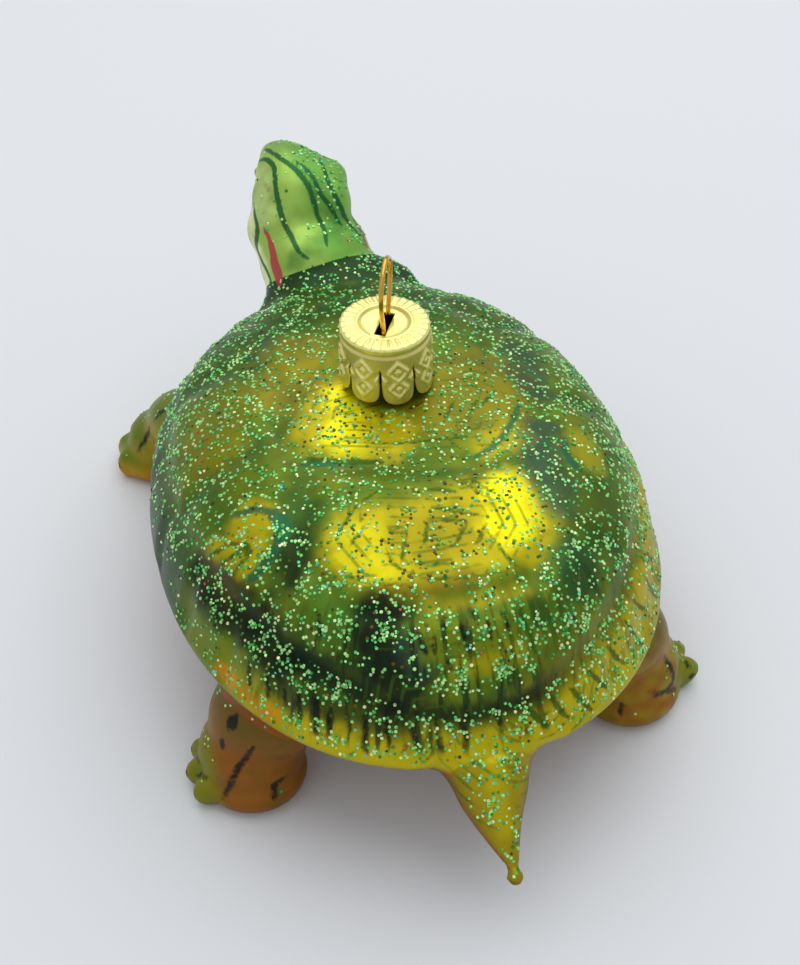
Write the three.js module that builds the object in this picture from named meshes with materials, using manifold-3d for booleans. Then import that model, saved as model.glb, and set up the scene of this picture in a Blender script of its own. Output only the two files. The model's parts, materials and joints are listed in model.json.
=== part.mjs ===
// A blown-glass hanging ornament in the form of a red-eared slider turtle.
// Millimetres, +Z up. The turtle faces -Y, its left side is +X, and it stands on
// its four soles at z = 0. The glass is parted by thin cuts into the pieces that
// a person would name; the stamped crown cap and its spring-wire hanger are real
// separate pieces.
import * as THREE from "three";
import { mergeVertices } from "three/addons/utils/BufferGeometryUtils.js";
import Module from "manifold-3d";

const wasm = await Module();
wasm.setup();

// ---- driving dimensions, in millimetres ----
const GAP = 0.3; // clearance between neighbouring solids
const SHIFT = { x: 0.8, y: 2.7, z: 0 }; // puts the middle of the whole length at the origin

const shell = {
  halfWidth: 34.1,
  frontReach: 44.5,
  rearReach: 42.9,
  outlinePower: 2.14, // 2 is an ellipse, more is squarer
  rimHeight: 20,
  crownHeight: 40.9,
  bellyHeight: 9.5,
  fullness: 0.574, // less than 1 fills out the shoulders of the dome
  columns: 56,
  domeRows: 15,
  bellyRows: 5,
  splitHeight: 16.8, // where the carapace is parted from the plastron
};
const scutes = {
  grooveDepth: 0.6,
  grooveWidth: 3.4, // from the bottom of a groove to the full height of its scute
  // Seams between the plates of the back, as lines through places seen from above.
  lines: [
    [[8, -38], [15, -31], [12.5, -25], [17.5, -17], [13.2, -9.5], [17.2, -0.5], [14.6, 6.4], [18.4, 19.7],
      [14.8, 28.6], [19.3, 34.6]],
    [[-8, -38], [-15, -31], [-12.5, -25], [-18, -16.5], [-14.5, -9], [-20.2, -1], [-11.6, 13.2], [-12.8, 24.4],
      [-6.6, 31.7], [-6.4, 40.2]],
    [[12.5, -25], [-12.5, -25]],
    [[13.2, -9.5], [-14.5, -9]],
    [[14.6, 6.4], [6, 9.4], [-11.6, 13.2]],
    [[14.8, 28.6], [8, 31.2], [-6.6, 31.7]],
    [[15, -31], [22, -34]],
    [[-15, -31], [-22, -34]],
    [[17.5, -17], [30.6, -20.5]],
    [[-18, -16.5], [-30.6, -20.5]],
    [[17.2, -0.5], [33, 2.5]],
    [[-20.2, -1], [-33, 3.5]],
    [[18.4, 19.7], [28.2, 23.8]],
    [[-12.8, 24.4], [-27, 25.6]],
  ],
  marginals: 24,
  marginalTop: 0.5, // share of the rise where the marginals end, at the sides
  marginalDip: 0.22, // how much lower that is over the tail
  rimFlare: 0.03, // share by which the wall above the rear rim is drawn in
};

// The swelling of the shell's front edge that the neck comes out of.
const collar = { centre: [-1.4, -37.6, 28.6], radii: [13.2, 8.4, 9.2], pitch: -0.5 };

// Each soft form is a line of points with a half-width and a half-height at each.
const neck = {
  line: [
    [-1.2, -31.5, 20],
    [-0.2, -39.4, 28],
    [1.4, -45.4, 36.6],
    [1.6, -48.8, 43.2],
  ],
  halves: [
    [7.6, 9],
    [7.5, 8.4],
    [9, 7.8],
    [8.8, 6],
  ],
  throat: [6, -47.6, 38.6], // middle of the swelling under the left cheek
  throatRadii: [4.6, 4.4, 6.2],
  throatPitch: -0.5,
  cut: [1.4, -45, 37.5], // where the head is parted from it
};
const head = {
  line: [
    [1.4, -43.5, 38],
    [1.6, -49, 42],
    [3.3, -54.8, 44.6],
    [5, -59.2, 45.8],
  ],
  halves: [
    [8.4, 7],
    [7.6, 6.8],
    [4.6, 5.1],
    [3.4, 3.6],
  ],
};
// The right eye sits a little lower and further back, under the fuller brow. Right comes first.
const eye = {
  radius: 2,
  middles: [
    [-4.5, -52.5, 43],
    [6, -54.4, 43.9],
  ],
  brows: [
    [-3.4, -51, 44],
    [5.1, -52.6, 45.5],
  ],
  browRadii: [
    [3.3, 3.8, 3],
    [2.5, 3.6, 2.6],
  ],
};
const tail = {
  line: [
    [0, 33, 19.5],
    [0.5, 40.5, 17.8],
    [0.7, 46.4, 13.4],
    [0.2, 52.9, 9.4],
  ],
  halves: [
    [9, 5.6],
    [6.4, 4.8],
    [3.6, 3.1],
    [1.5, 1.4],
  ],
  nub: [0.4, 52.8, 9.4],
  nubRadius: 1.05,
};

// Legs are given for the left side. pad is the middle of the paddle and toes are the tips.
const rear = {
  line: [
    [15, 20, 15],
    [21, 21.5, 14.5],
    [26, 21.2, 10.5],
    [26.4, 21.4, 5],
  ],
  halves: [
    [7, 6],
    [7.6, 6.8],
    [7.2, 6.9],
    [6.4, 6],
  ],
  pad: [26.8, 22.6, 2.6],
  padRadii: [7.2, 7, 4.4],
  padTurn: -0.2,
  toeHalf: 2.1,
  toeHeight: 2.4,
  toes: [
    [34.2, 17],
    [35.8, 21],
    [35.4, 25.2],
  ],
  rightToes: [
    [34.6, 14.8],
    [36.8, 18.4],
    [37.4, 22.4],
  ],
};
const front = {
  line: [
    [16, -28, 15],
    [21.5, -34, 14],
    [25.4, -40.5, 10],
    [27.4, -42.6, 5],
  ],
  halves: [
    [6.4, 5.6],
    [6.2, 5.6],
    [5.4, 5.4],
    [4.8, 4.6],
  ],
  pad: [28.6, -43.2, 2.6],
  padRadii: [5.8, 5.8, 4],
  padTurn: 0.5,
  toeHalf: 2,
  toeHeight: 2.4,
  toes: [
    [35, -41.4],
    [34.2, -46.4],
    [31, -50.2],
  ],
};

const stem = { radius: 4.7, bore: 3.7, x: 0.3, y: -6.1, foot: 39.6, top: 49.4 };
const cap = {
  radius: 6,
  wall: 0.45,
  top: 50.6,
  skirt: 41.5,
  bevel: 0.7,
  dishRadius: 3.9,
  dishDepth: 0.35,
  petals: 8,
  slitWidth: 0.45,
  slitHeight: 5.4,
  slotLength: 5.2,
  slotWidth: 2,
  slotTurn: 31, // degrees from the turtle's midline
};
const wire = {
  radius: 0.34,
  turn: 25, // of the loop, in degrees from the turtle's midline
  loopHalfWidth: 3.35,
  loopTop: 60,
  halfGauge: 2.0,
  splay: 2.9,
  end: 41,
};

const colours = {
  lacquer: 0x8a8f1c,
  skin: 0x6f9a35,
  limb: 0x9a6a1e,
  belly: 0xc9962c,
  gold: 0xd8c46a,
  eye: 0x1d2418,
};

// ---- helpers ----
const paint = (colour, roughness, metalness) =>
  new THREE.MeshStandardMaterial({ color: colour, roughness, metalness });

// A closed mesh as a solid: only position is kept, and pole triangles with no area are dropped.
function solid(geometry) {
  const g = geometry.clone();
  for (const name of Object.keys(g.attributes)) {
    if (name !== "position") g.deleteAttribute(name);
  }
  const merged = mergeVertices(g, 1e-4);
  const triVerts = [];
  for (let i = 0; i < merged.index.count; i += 3) {
    const [a, b, c] = [0, 1, 2].map((k) => merged.index.getX(i + k));
    if (a !== b && b !== c && c !== a) triVerts.push(a, b, c);
  }
  return new wasm.Manifold(
    new wasm.Mesh({
      numProp: 3,
      vertProperties: merged.attributes.position.array,
      triVerts: new Uint32Array(triVerts),
    }),
  );
}

function geometryOf(manifold) {
  const mesh = manifold.getMesh();
  const g = new THREE.BufferGeometry();
  g.setAttribute("position", new THREE.BufferAttribute(mesh.vertProperties.slice(), 3));
  g.setIndex(new THREE.BufferAttribute(mesh.triVerts.slice(), 1));
  g.computeVertexNormals();
  return g;
}

const join = (pieces) => pieces.reduce((a, b) => a.add(b));

// A unit sphere's points carried to new places by place(lon, lat), both in radians.
function carried(columns, rows, place) {
  const g = new THREE.SphereGeometry(1, columns, rows);
  const p = g.attributes.position;
  const at = new THREE.Vector3();
  for (let i = 0; i < p.count; i++) {
    at.fromBufferAttribute(p, i);
    const pole = Math.abs(at.y) > 1 - 1e-9;
    const lat = Math.asin(THREE.MathUtils.clamp(at.y, -1, 1));
    const lon = pole ? 0 : Math.atan2(-at.z, at.x);
    at.copy(place(lon, lat));
    p.setXYZ(i, at.x, at.y, at.z);
  }
  return g;
}

// A ball stretched to radii r, turned by yaw about Z and pitch about X, and set down at c.
function blob(c, r, yaw = 0, pitch = 0, columns = 14, rows = 8) {
  const g = new THREE.SphereGeometry(1, columns, rows);
  g.rotateX(Math.PI / 2);
  g.scale(r[0], r[1], r[2]);
  g.rotateX(pitch);
  g.rotateZ(yaw);
  g.translate(c[0], c[1], c[2]);
  return solid(g);
}

// A limb: elliptical rings about the smooth line of form.line. form.halves gives each point's half-width and
// half-height.
function limb(form, columns, rows) {
  const line = new THREE.CatmullRomCurve3(form.line.map((c) => new THREE.Vector3(...c)));
  const half = new THREE.CatmullRomCurve3(form.halves.map(([w, h]) => new THREE.Vector3(w, h, 0)));
  const up = new THREE.Vector3(0, 0, 1);
  return solid(
    carried(columns, rows, (lon, lat) => {
      const t = 0.5 + lat / Math.PI;
      const at = line.getPoint(t);
      const along = line.getTangent(t);
      const side = new THREE.Vector3().crossVectors(along, up).normalize();
      const over = new THREE.Vector3().crossVectors(side, along);
      const round = Math.pow(Math.cos(lat), 0.55); // blunt ends
      const size = half.getPoint(t);
      return at
        .addScaledVector(side, -Math.cos(lon) * round * size.x)
        .addScaledVector(over, Math.sin(lon) * round * size.y);
    }),
  );
}

function slab(thickness, size, centre, normal) {
  const g = new THREE.BoxGeometry(size, size, thickness);
  g.applyQuaternion(
    new THREE.Quaternion().setFromUnitVectors(
      new THREE.Vector3(0, 0, 1),
      new THREE.Vector3(...normal).normalize(),
    ),
  );
  g.translate(...centre);
  return solid(g);
}

// ---- the shell ----
const { degToRad } = THREE.MathUtils;
const smooth = (low, high, x) => THREE.MathUtils.smoothstep(x, low, high);

// The shell's outline seen from above, at angle lon from the turtle's left side.
function outline(lon) {
  const c = Math.cos(lon);
  const s = Math.sin(lon);
  const power = 2 / shell.outlinePower;
  const reach = s > 0 ? shell.rearReach : shell.frontReach;
  return new THREE.Vector2(
    Math.sign(c) * shell.halfWidth * Math.abs(c) ** power,
    Math.sign(s) * reach * Math.abs(s) ** power,
  );
}

// The dome's profile for t from the rim (0) to the crown (1): share of the outline, share of the rise.
function dome(t) {
  const a = (Math.PI / 2) * (1 - (1 - t) ** 1.6);
  return [Math.cos(a) ** shell.fullness, Math.sin(a) ** 1.05];
}

// The belly's, for t from the rim (0) to the middle of the flat (1), with the rim's lip undercut.
function belly(t) {
  const b = (Math.PI / 2) * (1 - (1 - t) ** 1.4);
  return [Math.cos(b) ** 0.6 * (1 - 0.05 * smooth(0, 0.3, t)), -(Math.sin(b) ** 0.9)];
}

// How far a place seen from above is from a line through corners.
function lineGap(x, y, corners) {
  const gaps = corners.slice(1).map(([bx, by], i) => {
    const [ax, ay] = corners[i];
    const [dx, dy] = [bx - ax, by - ay];
    const along = ((x - ax) * dx + (y - ay) * dy) / (dx * dx + dy * dy);
    const t = THREE.MathUtils.clamp(along, 0, 1);
    return Math.hypot(x - ax - t * dx, y - ay - t * dy);
  });
  return Math.min(...gaps);
}

// 1 in a groove and 0 well away from it.
const groove = (distance) => 1 - smooth(0, scutes.grooveWidth, Math.abs(distance));

// Depth of the moulded seams at a place seen from above, at a share of the rise.
function seams(x, y, rise, lon) {
  const top = scutes.marginalTop - scutes.marginalDip * Math.max(0, Math.sin(lon)) ** 6;
  const ring = groove((rise - top) * (shell.crownHeight - shell.rimHeight)) * (1 + 0.8 * smooth(0, 30, y));
  if (rise < top) {
    const step = (2 * Math.PI) / scutes.marginals;
    const marginal = lon / step - Math.round(lon / step);
    return Math.max(ring, groove(marginal * step * shell.halfWidth * 1.4));
  }
  return Math.max(ring, groove(Math.min(...scutes.lines.map((line) => lineGap(x, y, line)))));
}

// The whole body between the legs: grow moves its wall out, and moulded says whether the seams are in it.
function trunk(columns, domeRows, bellyRows, grow, moulded) {
  const rows = domeRows + bellyRows;
  return solid(
    carried(columns, rows, (lon, lat) => {
      const row = Math.round((0.5 - lat / Math.PI) * rows);
      const above = row <= domeRows;
      const t = above ? 1 - row / domeRows : (row - domeRows) / bellyRows;
      const [share, rise] = above ? dome(t) : belly(t);
      const up = above ? shell.crownHeight - shell.rimHeight : shell.rimHeight - shell.bellyHeight;
      const edge = outline(lon);
      const wall = above ? (1 - Math.exp(-((rise / 0.1) ** 2))) * (1 - smooth(0.4, 0.9, rise)) : 0;
      const drawnIn = 1 - scutes.rimFlare * wall * smooth(-10, 30, edge.y);
      const reach = share * drawnIn;
      const at = new THREE.Vector3(edge.x * reach, edge.y * reach, shell.rimHeight + rise * up);
      const tilt = (Math.PI / 2) * Math.sign(rise) * rise ** 2;
      const out = new THREE.Vector3(edge.x, edge.y, 0).normalize().multiplyScalar(Math.cos(tilt));
      out.z = Math.sin(tilt);
      const depth = moulded && above ? seams(at.x, at.y, rise, lon) * scutes.grooveDepth : 0;
      return at.addScaledVector(out, grow - depth);
    }),
  );
}

const trunkWhole = trunk(shell.columns, shell.domeRows, shell.bellyRows, 0, true);
const trunkGrown = trunk(32, 8, 5, GAP + 0.25, false);

const swelling = (grow) =>
  blob(collar.centre, collar.radii.map((r) => r + grow), 0, collar.pitch, 24, 12);
const wellRadius = stem.radius + GAP;
const stemWell = solid(
  new THREE.CylinderGeometry(wellRadius, wellRadius, 20, 24)
    .rotateX(Math.PI / 2)
    .translate(stem.x, stem.y, stem.foot + 10 - GAP),
);
const [carapaceSolid, plastronSolid] = trunkWhole
  .add(swelling(0))
  .subtract(slab(GAP, 200, [0, 0, shell.splitHeight], [0, 0, 1]))
  .subtract(stemWell)
  .decompose()
  .sort((a, b) => b.boundingBox().max[2] - a.boundingBox().max[2]);

// ---- neck, head and eyes ----
const bodyGrown = trunkGrown.add(swelling(GAP));
const neckWhole = limb(neck, 20, 10);
const throat = blob(neck.throat, neck.throatRadii, 0, neck.throatPitch, 14, 8);
const headWhole = limb(head, 18, 11);
const ball = (at, radius) => blob(at, [radius, radius, radius], 0, 0, 12, 7);
const brows = eye.brows.map((middle, i) => blob(middle, eye.browRadii[i], 0, 0.3, 10, 6));
const speck = 20; // cubic millimetres, less than which a piece is only what a cut left over
const [headSolid, neckSolid] = join([neckWhole, throat, headWhole, ...brows])
  .subtract(bodyGrown)
  .subtract(join(eye.middles.map((at) => ball(at, eye.radius + GAP))))
  .subtract(slab(GAP, 40, neck.cut, [0, -0.75, 0.66]))
  .decompose()
  .filter((s) => s.volume() > speck)
  .sort((a, b) => b.boundingBox().max[2] - a.boundingBox().max[2]);

// ---- legs and tail ----
const floor = solid(new THREE.BoxGeometry(300, 300, 40).translate(0, 0, -20));
const largest = (s) => s.decompose().sort((a, b) => b.volume() - a.volume())[0];

// A limb down to a round paddle, with blunt toes fanned out of it.
function leg(side, form) {
  const [padX, padY, padZ] = form.pad;
  const line = form.line.map(([x, y, z]) => [side * x, y, z]);
  const arm = limb({ line, halves: form.halves }, 14, 8);
  const pad = blob([side * padX, padY, padZ], form.padRadii, side * form.padTurn, 0, 16, 7);
  const tips = (side < 0 && form.rightToes) || form.toes;
  const toes = tips.map(([x, y]) => {
    const dx = x - padX;
    const dy = y - padY;
    const long = Math.hypot(dx, dy);
    const middle = [side * (padX + dx * 0.62), padY + dy * 0.62, form.toeHeight];
    const radii = [long * 0.38, form.toeHalf, form.toeHeight + 0.5];
    return blob(middle, radii, Math.atan2(dy, side * dx), 0, 12, 6);
  });
  return largest(join([arm, pad, ...toes]).subtract(bodyGrown).subtract(floor));
}

const tailSolid = largest(
  join([
    limb(tail, 16, 10),
    blob(tail.nub, [tail.nubRadius, tail.nubRadius, tail.nubRadius], 0, 0, 10, 6),
  ]).subtract(bodyGrown),
);

// ---- stem, cap and hanger ----
const revolve = (points, segments) =>
  new THREE.LatheGeometry(points.map(([r, z]) => new THREE.Vector2(r, z)), segments)
    .rotateX(Math.PI / 2)
    .translate(stem.x, stem.y, 0);

const stemSolid = solid(
  revolve(
    [
      [stem.bore, stem.foot],
      [stem.radius, stem.foot],
      [stem.radius, stem.top],
      [stem.bore, stem.top],
      [stem.bore, stem.foot],
    ],
    20,
  ),
);

function capShape() {
  const inner = cap.radius - cap.wall;
  const shoulder = cap.top - cap.bevel;
  const dish = cap.top - cap.dishDepth;
  let body = solid(
    revolve(
      [
        [0, dish],
        [cap.dishRadius - 0.3, dish],
        [cap.dishRadius, cap.top],
        [cap.radius - cap.bevel, cap.top],
        [cap.radius, shoulder],
        [cap.radius, cap.skirt + 1.4],
        [cap.radius + 0.25, cap.skirt + 0.5],
        [cap.radius, cap.skirt],
        [inner, cap.skirt],
        [inner, shoulder - 0.3],
        [inner - 0.6, dish - cap.wall],
        [0, dish - cap.wall],
      ].reverse(),
      28,
    ),
  );
  const cutters = [];
  for (let i = 0; i < cap.petals; i++) {
    const turn = ((i + 0.5) / cap.petals) * 2 * Math.PI;
    const slit = new THREE.BoxGeometry(2.4, cap.slitWidth, cap.slitHeight);
    slit.translate(cap.radius, 0, cap.skirt + cap.slitHeight / 2 - 0.01);
    const notch = new THREE.CylinderGeometry(1.05, 1.05, 2.4, 4).rotateZ(Math.PI / 2);
    notch.translate(cap.radius, 0, cap.skirt - 0.15);
    for (const g of [slit, notch]) {
      cutters.push(solid(g.rotateZ(turn).translate(stem.x, stem.y, 0)));
    }
  }
  const slot = new THREE.BoxGeometry(cap.slotWidth, cap.slotLength, 4);
  slot.rotateZ(-degToRad(cap.slotTurn)).translate(stem.x, stem.y, cap.top);
  cutters.push(solid(slot));
  for (const c of cutters) body = body.subtract(c);
  return body;
}

function hangerShape() {
  const turn = degToRad(wire.turn);
  const along = (s, z) =>
    new THREE.Vector3(stem.x + Math.sin(turn) * s, stem.y + Math.cos(turn) * s, z);
  const half = [
    along(-wire.splay, wire.end),
    along(-wire.splay + 0.2, wire.end + 3.2),
    along(-wire.halfGauge, cap.top - 1.2),
    along(-wire.halfGauge, cap.top + 0.6),
    along(-wire.loopHalfWidth, cap.top + 4.6),
    along(-wire.loopHalfWidth * 0.87, wire.loopTop - 1.7),
  ];
  const other = half.map((p) => p.clone().setX(2 * stem.x - p.x).setY(2 * stem.y - p.y)).reverse();
  const path = new THREE.CatmullRomCurve3([...half, along(0, wire.loopTop), ...other]);
  const section = new THREE.Shape();
  section.absarc(0, 0, wire.radius, 0, 2 * Math.PI);
  return solid(
    new THREE.ExtrudeGeometry(section, { steps: 44, extrudePath: path, curveSegments: 2 }),
  );
}

// ---- the ornament ----
const group = new THREE.Group();
group.position.set(SHIFT.x, SHIFT.y, SHIFT.z);

function place(name, shape, material) {
  const mesh = new THREE.Mesh(geometryOf(shape), material);
  mesh.name = name;
  group.add(mesh);
}

const lacquer = paint(colours.lacquer, 0.35, 0.6);
const skin = paint(colours.skin, 0.35, 0.4);
const limbPaint = paint(colours.limb, 0.4, 0.4);
const gold = paint(colours.gold, 0.3, 1);
const eyeEnamel = paint(colours.eye, 0.15, 0);

place("carapace", carapaceSolid, lacquer);
place("plastron", plastronSolid, paint(colours.belly, 0.4, 0.4));
place("neck", neckSolid, skin);
place("head", headSolid, skin);
for (const [name, side] of [["left", 1], ["right", -1]]) {
  place("eye_" + name, ball(eye.middles[(side + 1) / 2], eye.radius), eyeEnamel);
  place("leg_front_" + name, leg(side, front), limbPaint);
  place("leg_rear_" + name, leg(side, rear), limbPaint);
}
place("tail", tailSolid, limbPaint);
place("glass_stem", stemSolid, lacquer);
place("cap", capShape(), gold);
place("hanger_wire", hangerShape(), gold);

export default group;
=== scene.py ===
import json
from functools import partial
from math import cos, pi, radians, sin

import bpy
import numpy as np
from mathutils import Matrix, Vector
from mathutils.bvhtree import BVHTree

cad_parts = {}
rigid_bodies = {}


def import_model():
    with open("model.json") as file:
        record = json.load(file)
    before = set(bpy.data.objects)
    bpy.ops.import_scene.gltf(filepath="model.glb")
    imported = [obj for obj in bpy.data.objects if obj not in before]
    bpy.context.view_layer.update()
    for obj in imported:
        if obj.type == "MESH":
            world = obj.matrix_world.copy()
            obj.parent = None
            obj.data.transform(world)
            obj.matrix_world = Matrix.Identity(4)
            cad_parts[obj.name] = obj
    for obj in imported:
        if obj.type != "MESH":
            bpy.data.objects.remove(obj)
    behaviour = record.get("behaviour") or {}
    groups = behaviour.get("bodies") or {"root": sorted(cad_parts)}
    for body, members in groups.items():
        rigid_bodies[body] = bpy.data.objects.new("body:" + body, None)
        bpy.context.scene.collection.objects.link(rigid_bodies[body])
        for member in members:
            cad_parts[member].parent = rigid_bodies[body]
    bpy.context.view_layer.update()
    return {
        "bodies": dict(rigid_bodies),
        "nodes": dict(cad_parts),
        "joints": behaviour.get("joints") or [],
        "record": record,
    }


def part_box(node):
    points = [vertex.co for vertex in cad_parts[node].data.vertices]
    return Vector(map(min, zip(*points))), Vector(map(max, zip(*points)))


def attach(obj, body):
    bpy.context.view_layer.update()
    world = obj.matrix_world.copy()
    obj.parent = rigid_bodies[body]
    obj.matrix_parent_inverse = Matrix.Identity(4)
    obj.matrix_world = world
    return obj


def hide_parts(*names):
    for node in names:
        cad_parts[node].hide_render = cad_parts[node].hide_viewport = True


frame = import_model()
capLow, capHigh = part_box("cap")
capPlace = (0.3, -6.1)  # where the cap's middle stands seen from above
home = np.array([(capLow.x + capHigh.x) * 500 - capPlace[0], (capLow.y + capHigh.y) * 500 - capPlace[1], 0.0])


def toScene(points):
    # millimetres in the turtle's frame to metres in the shared one
    return (np.asarray(points, float) + home) / 1000


def ramp(low, high, x):
    # 0 up to low, 1 from high on and smooth between; it falls where low is above high
    t = np.clip((x - low) / (high - low), 0, 1)
    return t * t * (3 - 2 * t)


def toLinear(hexColour):
    # an sRGB hex value as linear red, green, blue
    c = np.array([int(hexColour[i:i + 2], 16) for i in (0, 2, 4)]) / 255
    return np.where(c <= 0.04045, c / 12.92, ((c + 0.055) / 1.055) ** 2.4)


def rgba(hexColour):
    return (*toLinear(hexColour), 1.0)


def curveThrough(points, t):
    # smooth line through the points for t from 0 to 1: a point's slope is half the step from its
    # neighbour before to its neighbour after
    p = np.asarray(points, float)
    p = np.vstack([2 * p[0] - p[1], p, 2 * p[-1] - p[-2]])
    s = np.clip(t, 0, 1) * (len(p) - 3)
    i = np.minimum(s.astype(int), len(p) - 4)
    u = (s - i)[:, None]
    a, b, c, d = p[i], p[i + 1], p[i + 2], p[i + 3]
    return 0.5 * (2 * b + (c - a) * u + (2 * a - 5 * b + 4 * c - d) * u**2 + (3 * b - a - 3 * c + d) * u**3)


def unit(v):
    # vectors of length 1
    return v / np.linalg.norm(v, axis=-1, keepdims=True)


def ripple(points, size, seed):
    # a smooth random field from -1 to 1: the sum of 24 waves about size long in random directions
    rng = np.random.default_rng(seed)
    waves = unit(rng.normal(size=(24, 3))) * rng.uniform(0.6, 1.6, (24, 1)) * 2 * pi / size
    return np.clip(np.cos(points @ waves.T + rng.uniform(0, 2 * pi, 24)).sum(1) / 7, -1, 1)


def gridQuads(rows, columns):
    # quads between the rows of a grid of points, each row's last point joined to its first
    i, j = np.meshgrid(np.arange(rows - 1), np.arange(columns), indexing="ij")
    nextJ = (j + 1) % columns
    here, above = i * columns, (i + 1) * columns
    return np.stack([here + j, here + nextJ, above + nextJ, above + j], -1)


def closedGrid(place, columns, rows):
    # place(lon, lat) carries a unit sphere's grid to its surface; the two poles are single points
    lon = np.arange(columns) * 2 * pi / columns
    lat = np.linspace(-pi / 2, pi / 2, rows + 1)[1:-1]
    lons, lats = np.meshgrid(lon, lat)
    ends = np.array([-pi / 2, pi / 2])
    points = np.vstack([place(lons.ravel(), lats.ravel()), place(np.zeros(2), ends)])
    j = np.arange(columns)
    nextJ = (j + 1) % columns
    last = (rows - 2) * columns
    bottom = np.stack([np.full(columns, len(points) - 2), nextJ, j], -1)
    top = np.stack([np.full(columns, len(points) - 1), last + j, last + nextJ], -1)
    return points, gridQuads(rows - 1, columns).reshape(-1, 4).tolist() + bottom.tolist() + top.tolist()


def addMesh(name, points, faces, finish=None, smooth=True):
    # a mesh object at the origin with its place, in metres, in its points
    mesh = bpy.data.meshes.new(name)
    mesh.from_pydata(toScene(points).tolist(), [], faces if isinstance(faces, list) else faces.tolist())
    mesh.update()
    mesh.polygons.foreach_set("use_smooth", np.full(len(mesh.polygons), smooth))
    thing = bpy.data.objects.new(name, mesh)
    bpy.context.scene.collection.objects.link(thing)
    if finish:
        mesh.materials.append(finish)
    return thing


def joined(shells):
    # several closed surfaces as one list of points and faces
    points, faces, start = [], [], 0
    for p, f in shells:
        points.append(p)
        faces += [[k + start for k in face] for face in f]
        start += len(p)
    return np.vstack(points), faces


def outward(points, faces):
    # turns a closed surface's faces round if they point inwards
    tri = np.array([f[:3] for f in faces])
    quad = np.array([f for f in faces if len(f) == 4]).reshape(-1, 4)
    a, b, c = (points[tri[:, k]] for k in range(3))
    volume = (a * np.cross(b, c)).sum()
    if len(quad):
        a, b, c = (points[quad[:, k]] for k in (0, 2, 3))
        volume += (a * np.cross(b, c)).sum()
    return faces if volume > 0 else [f[::-1] for f in faces]


def addWeld(piece, reach):
    # merges points less than reach apart, in millimetres
    piece.modifiers.new("weld", "WELD").merge_threshold = reach / 1000


def addFloats(mesh, name, values):
    # a number for each point, that the finish reads by name
    mesh.attributes.new(name, "FLOAT", "POINT").data.foreach_set("value", values.astype(np.float32))


def addColours(mesh, name, rgb):
    layer = mesh.attributes.new(name, "FLOAT_COLOR", "POINT")
    layer.data.foreach_set("color", np.column_stack([rgb, np.ones(len(rgb))]).astype(np.float32).ravel())


def node(tree, kind, inputs=(), out=0, **settings):
    # adds a node and gives one of its outputs; an input is a value or another node's output
    made = tree.nodes.new("ShaderNode" + kind)
    for key, value in settings.items():
        setattr(made, key, value)
    for key, value in dict(inputs).items():
        if isinstance(value, bpy.types.NodeSocket):
            tree.links.new(value, made.inputs[key])
        else:
            made.inputs[key].default_value = value
    return made.outputs[out] if made.outputs else made


mixed = dict(out=2, data_type="RGBA")
eased = dict(interpolation_type="SMOOTHSTEP")
times = dict(operation="MULTIPLY")


def newFinish(name):
    # an empty finish and the function that adds a node to it
    finish = bpy.data.materials.new(name)
    finish.use_nodes = True
    finish.node_tree.nodes.clear()
    return finish, partial(node, finish.node_tree)


def endFinish(add, inputs):
    # the finish's one shader, straight to the surface
    add("OutputMaterial", {"Surface": add("BsdfPrincipled", inputs)})


viewFrom = dict(turn=15.71, tilt=43.09, distance=236.6, aside=-0.1, above=5.39, aim=(0, 0, 20),
                lens=42.28, filmHeight=24)
turn, tilt = radians(viewFrom["turn"]), radians(viewFrom["tilt"])
back = Vector((sin(turn) * cos(tilt), cos(turn) * cos(tilt), sin(tilt)))
across = (-back).cross(Vector((0, 0, 1))).normalized()
upright = across.cross(-back)
eyePlace = Vector(viewFrom["aim"]) + across * viewFrom["aside"] + upright * viewFrom["above"]
eyePlace += back * viewFrom["distance"]
lens = bpy.data.cameras.new("camera")
lens.sensor_fit = "VERTICAL"
lens.sensor_height = viewFrom["filmHeight"]
lens.lens = viewFrom["lens"]
lens.clip_start = 0.01
camera = bpy.data.objects.new("camera", lens)
camera.matrix_world = Matrix((across, upright, back)).transposed().to_4x4()
camera.matrix_world.translation = Vector(toScene(eyePlace))
bpy.context.scene.collection.objects.link(camera)
bpy.context.scene.camera = camera
bpy.context.scene.view_settings.view_transform = "Standard"

studio = dict(floor="dcddde", floorSize=3000, floorDrop=0.02, world="e8edf4", worldStrength=0.695,
              sheetSize=0.9, sheetPower=3.1, sheetFrom=(-0.1, -0.17, 0.6), fillPower=0.5,
              fillFrom=(0.35, 0.45, 0.4), aim=(0, 0, 0.02))  # the lights' places and sizes are in metres
floorFinish, add = newFinish("matt_paper_floor")
endFinish(add, {"Base Color": rgba(studio["floor"]), "Roughness": 0.9, "Specular IOR Level": 0.1})
corners = np.array([(-1, -1, 0), (1, -1, 0), (1, 1, 0), (-1, 1, 0)]) * studio["floorSize"] / 2
floor = addMesh("floor", corners - (0, 0, studio["floorDrop"]), [[0, 1, 2, 3]], floorFinish, smooth=False)

world = bpy.data.worlds.new("studio")
world.use_nodes = True
sky = world.node_tree.nodes["Background"].inputs
sky["Color"].default_value = rgba(studio["world"])
sky["Strength"].default_value = studio["worldStrength"]
bpy.context.scene.world = world


def addSheet(name, place, size, power):
    # a soft square light aimed at the middle of the turtle
    light = bpy.data.lights.new(name, "AREA")
    light.size = size
    light.energy = power
    lamp = bpy.data.objects.new(name, light)
    lamp.location = place
    lamp.rotation_euler = (Vector(studio["aim"]) - Vector(place)).to_track_quat("-Z", "Y").to_euler()
    bpy.context.scene.collection.objects.link(lamp)


addSheet("softSheet", studio["sheetFrom"], studio["sheetSize"], studio["sheetPower"])
addSheet("fillSheet", studio["fillFrom"], studio["sheetSize"], studio["fillPower"])
print("camera, floor and light")


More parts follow.
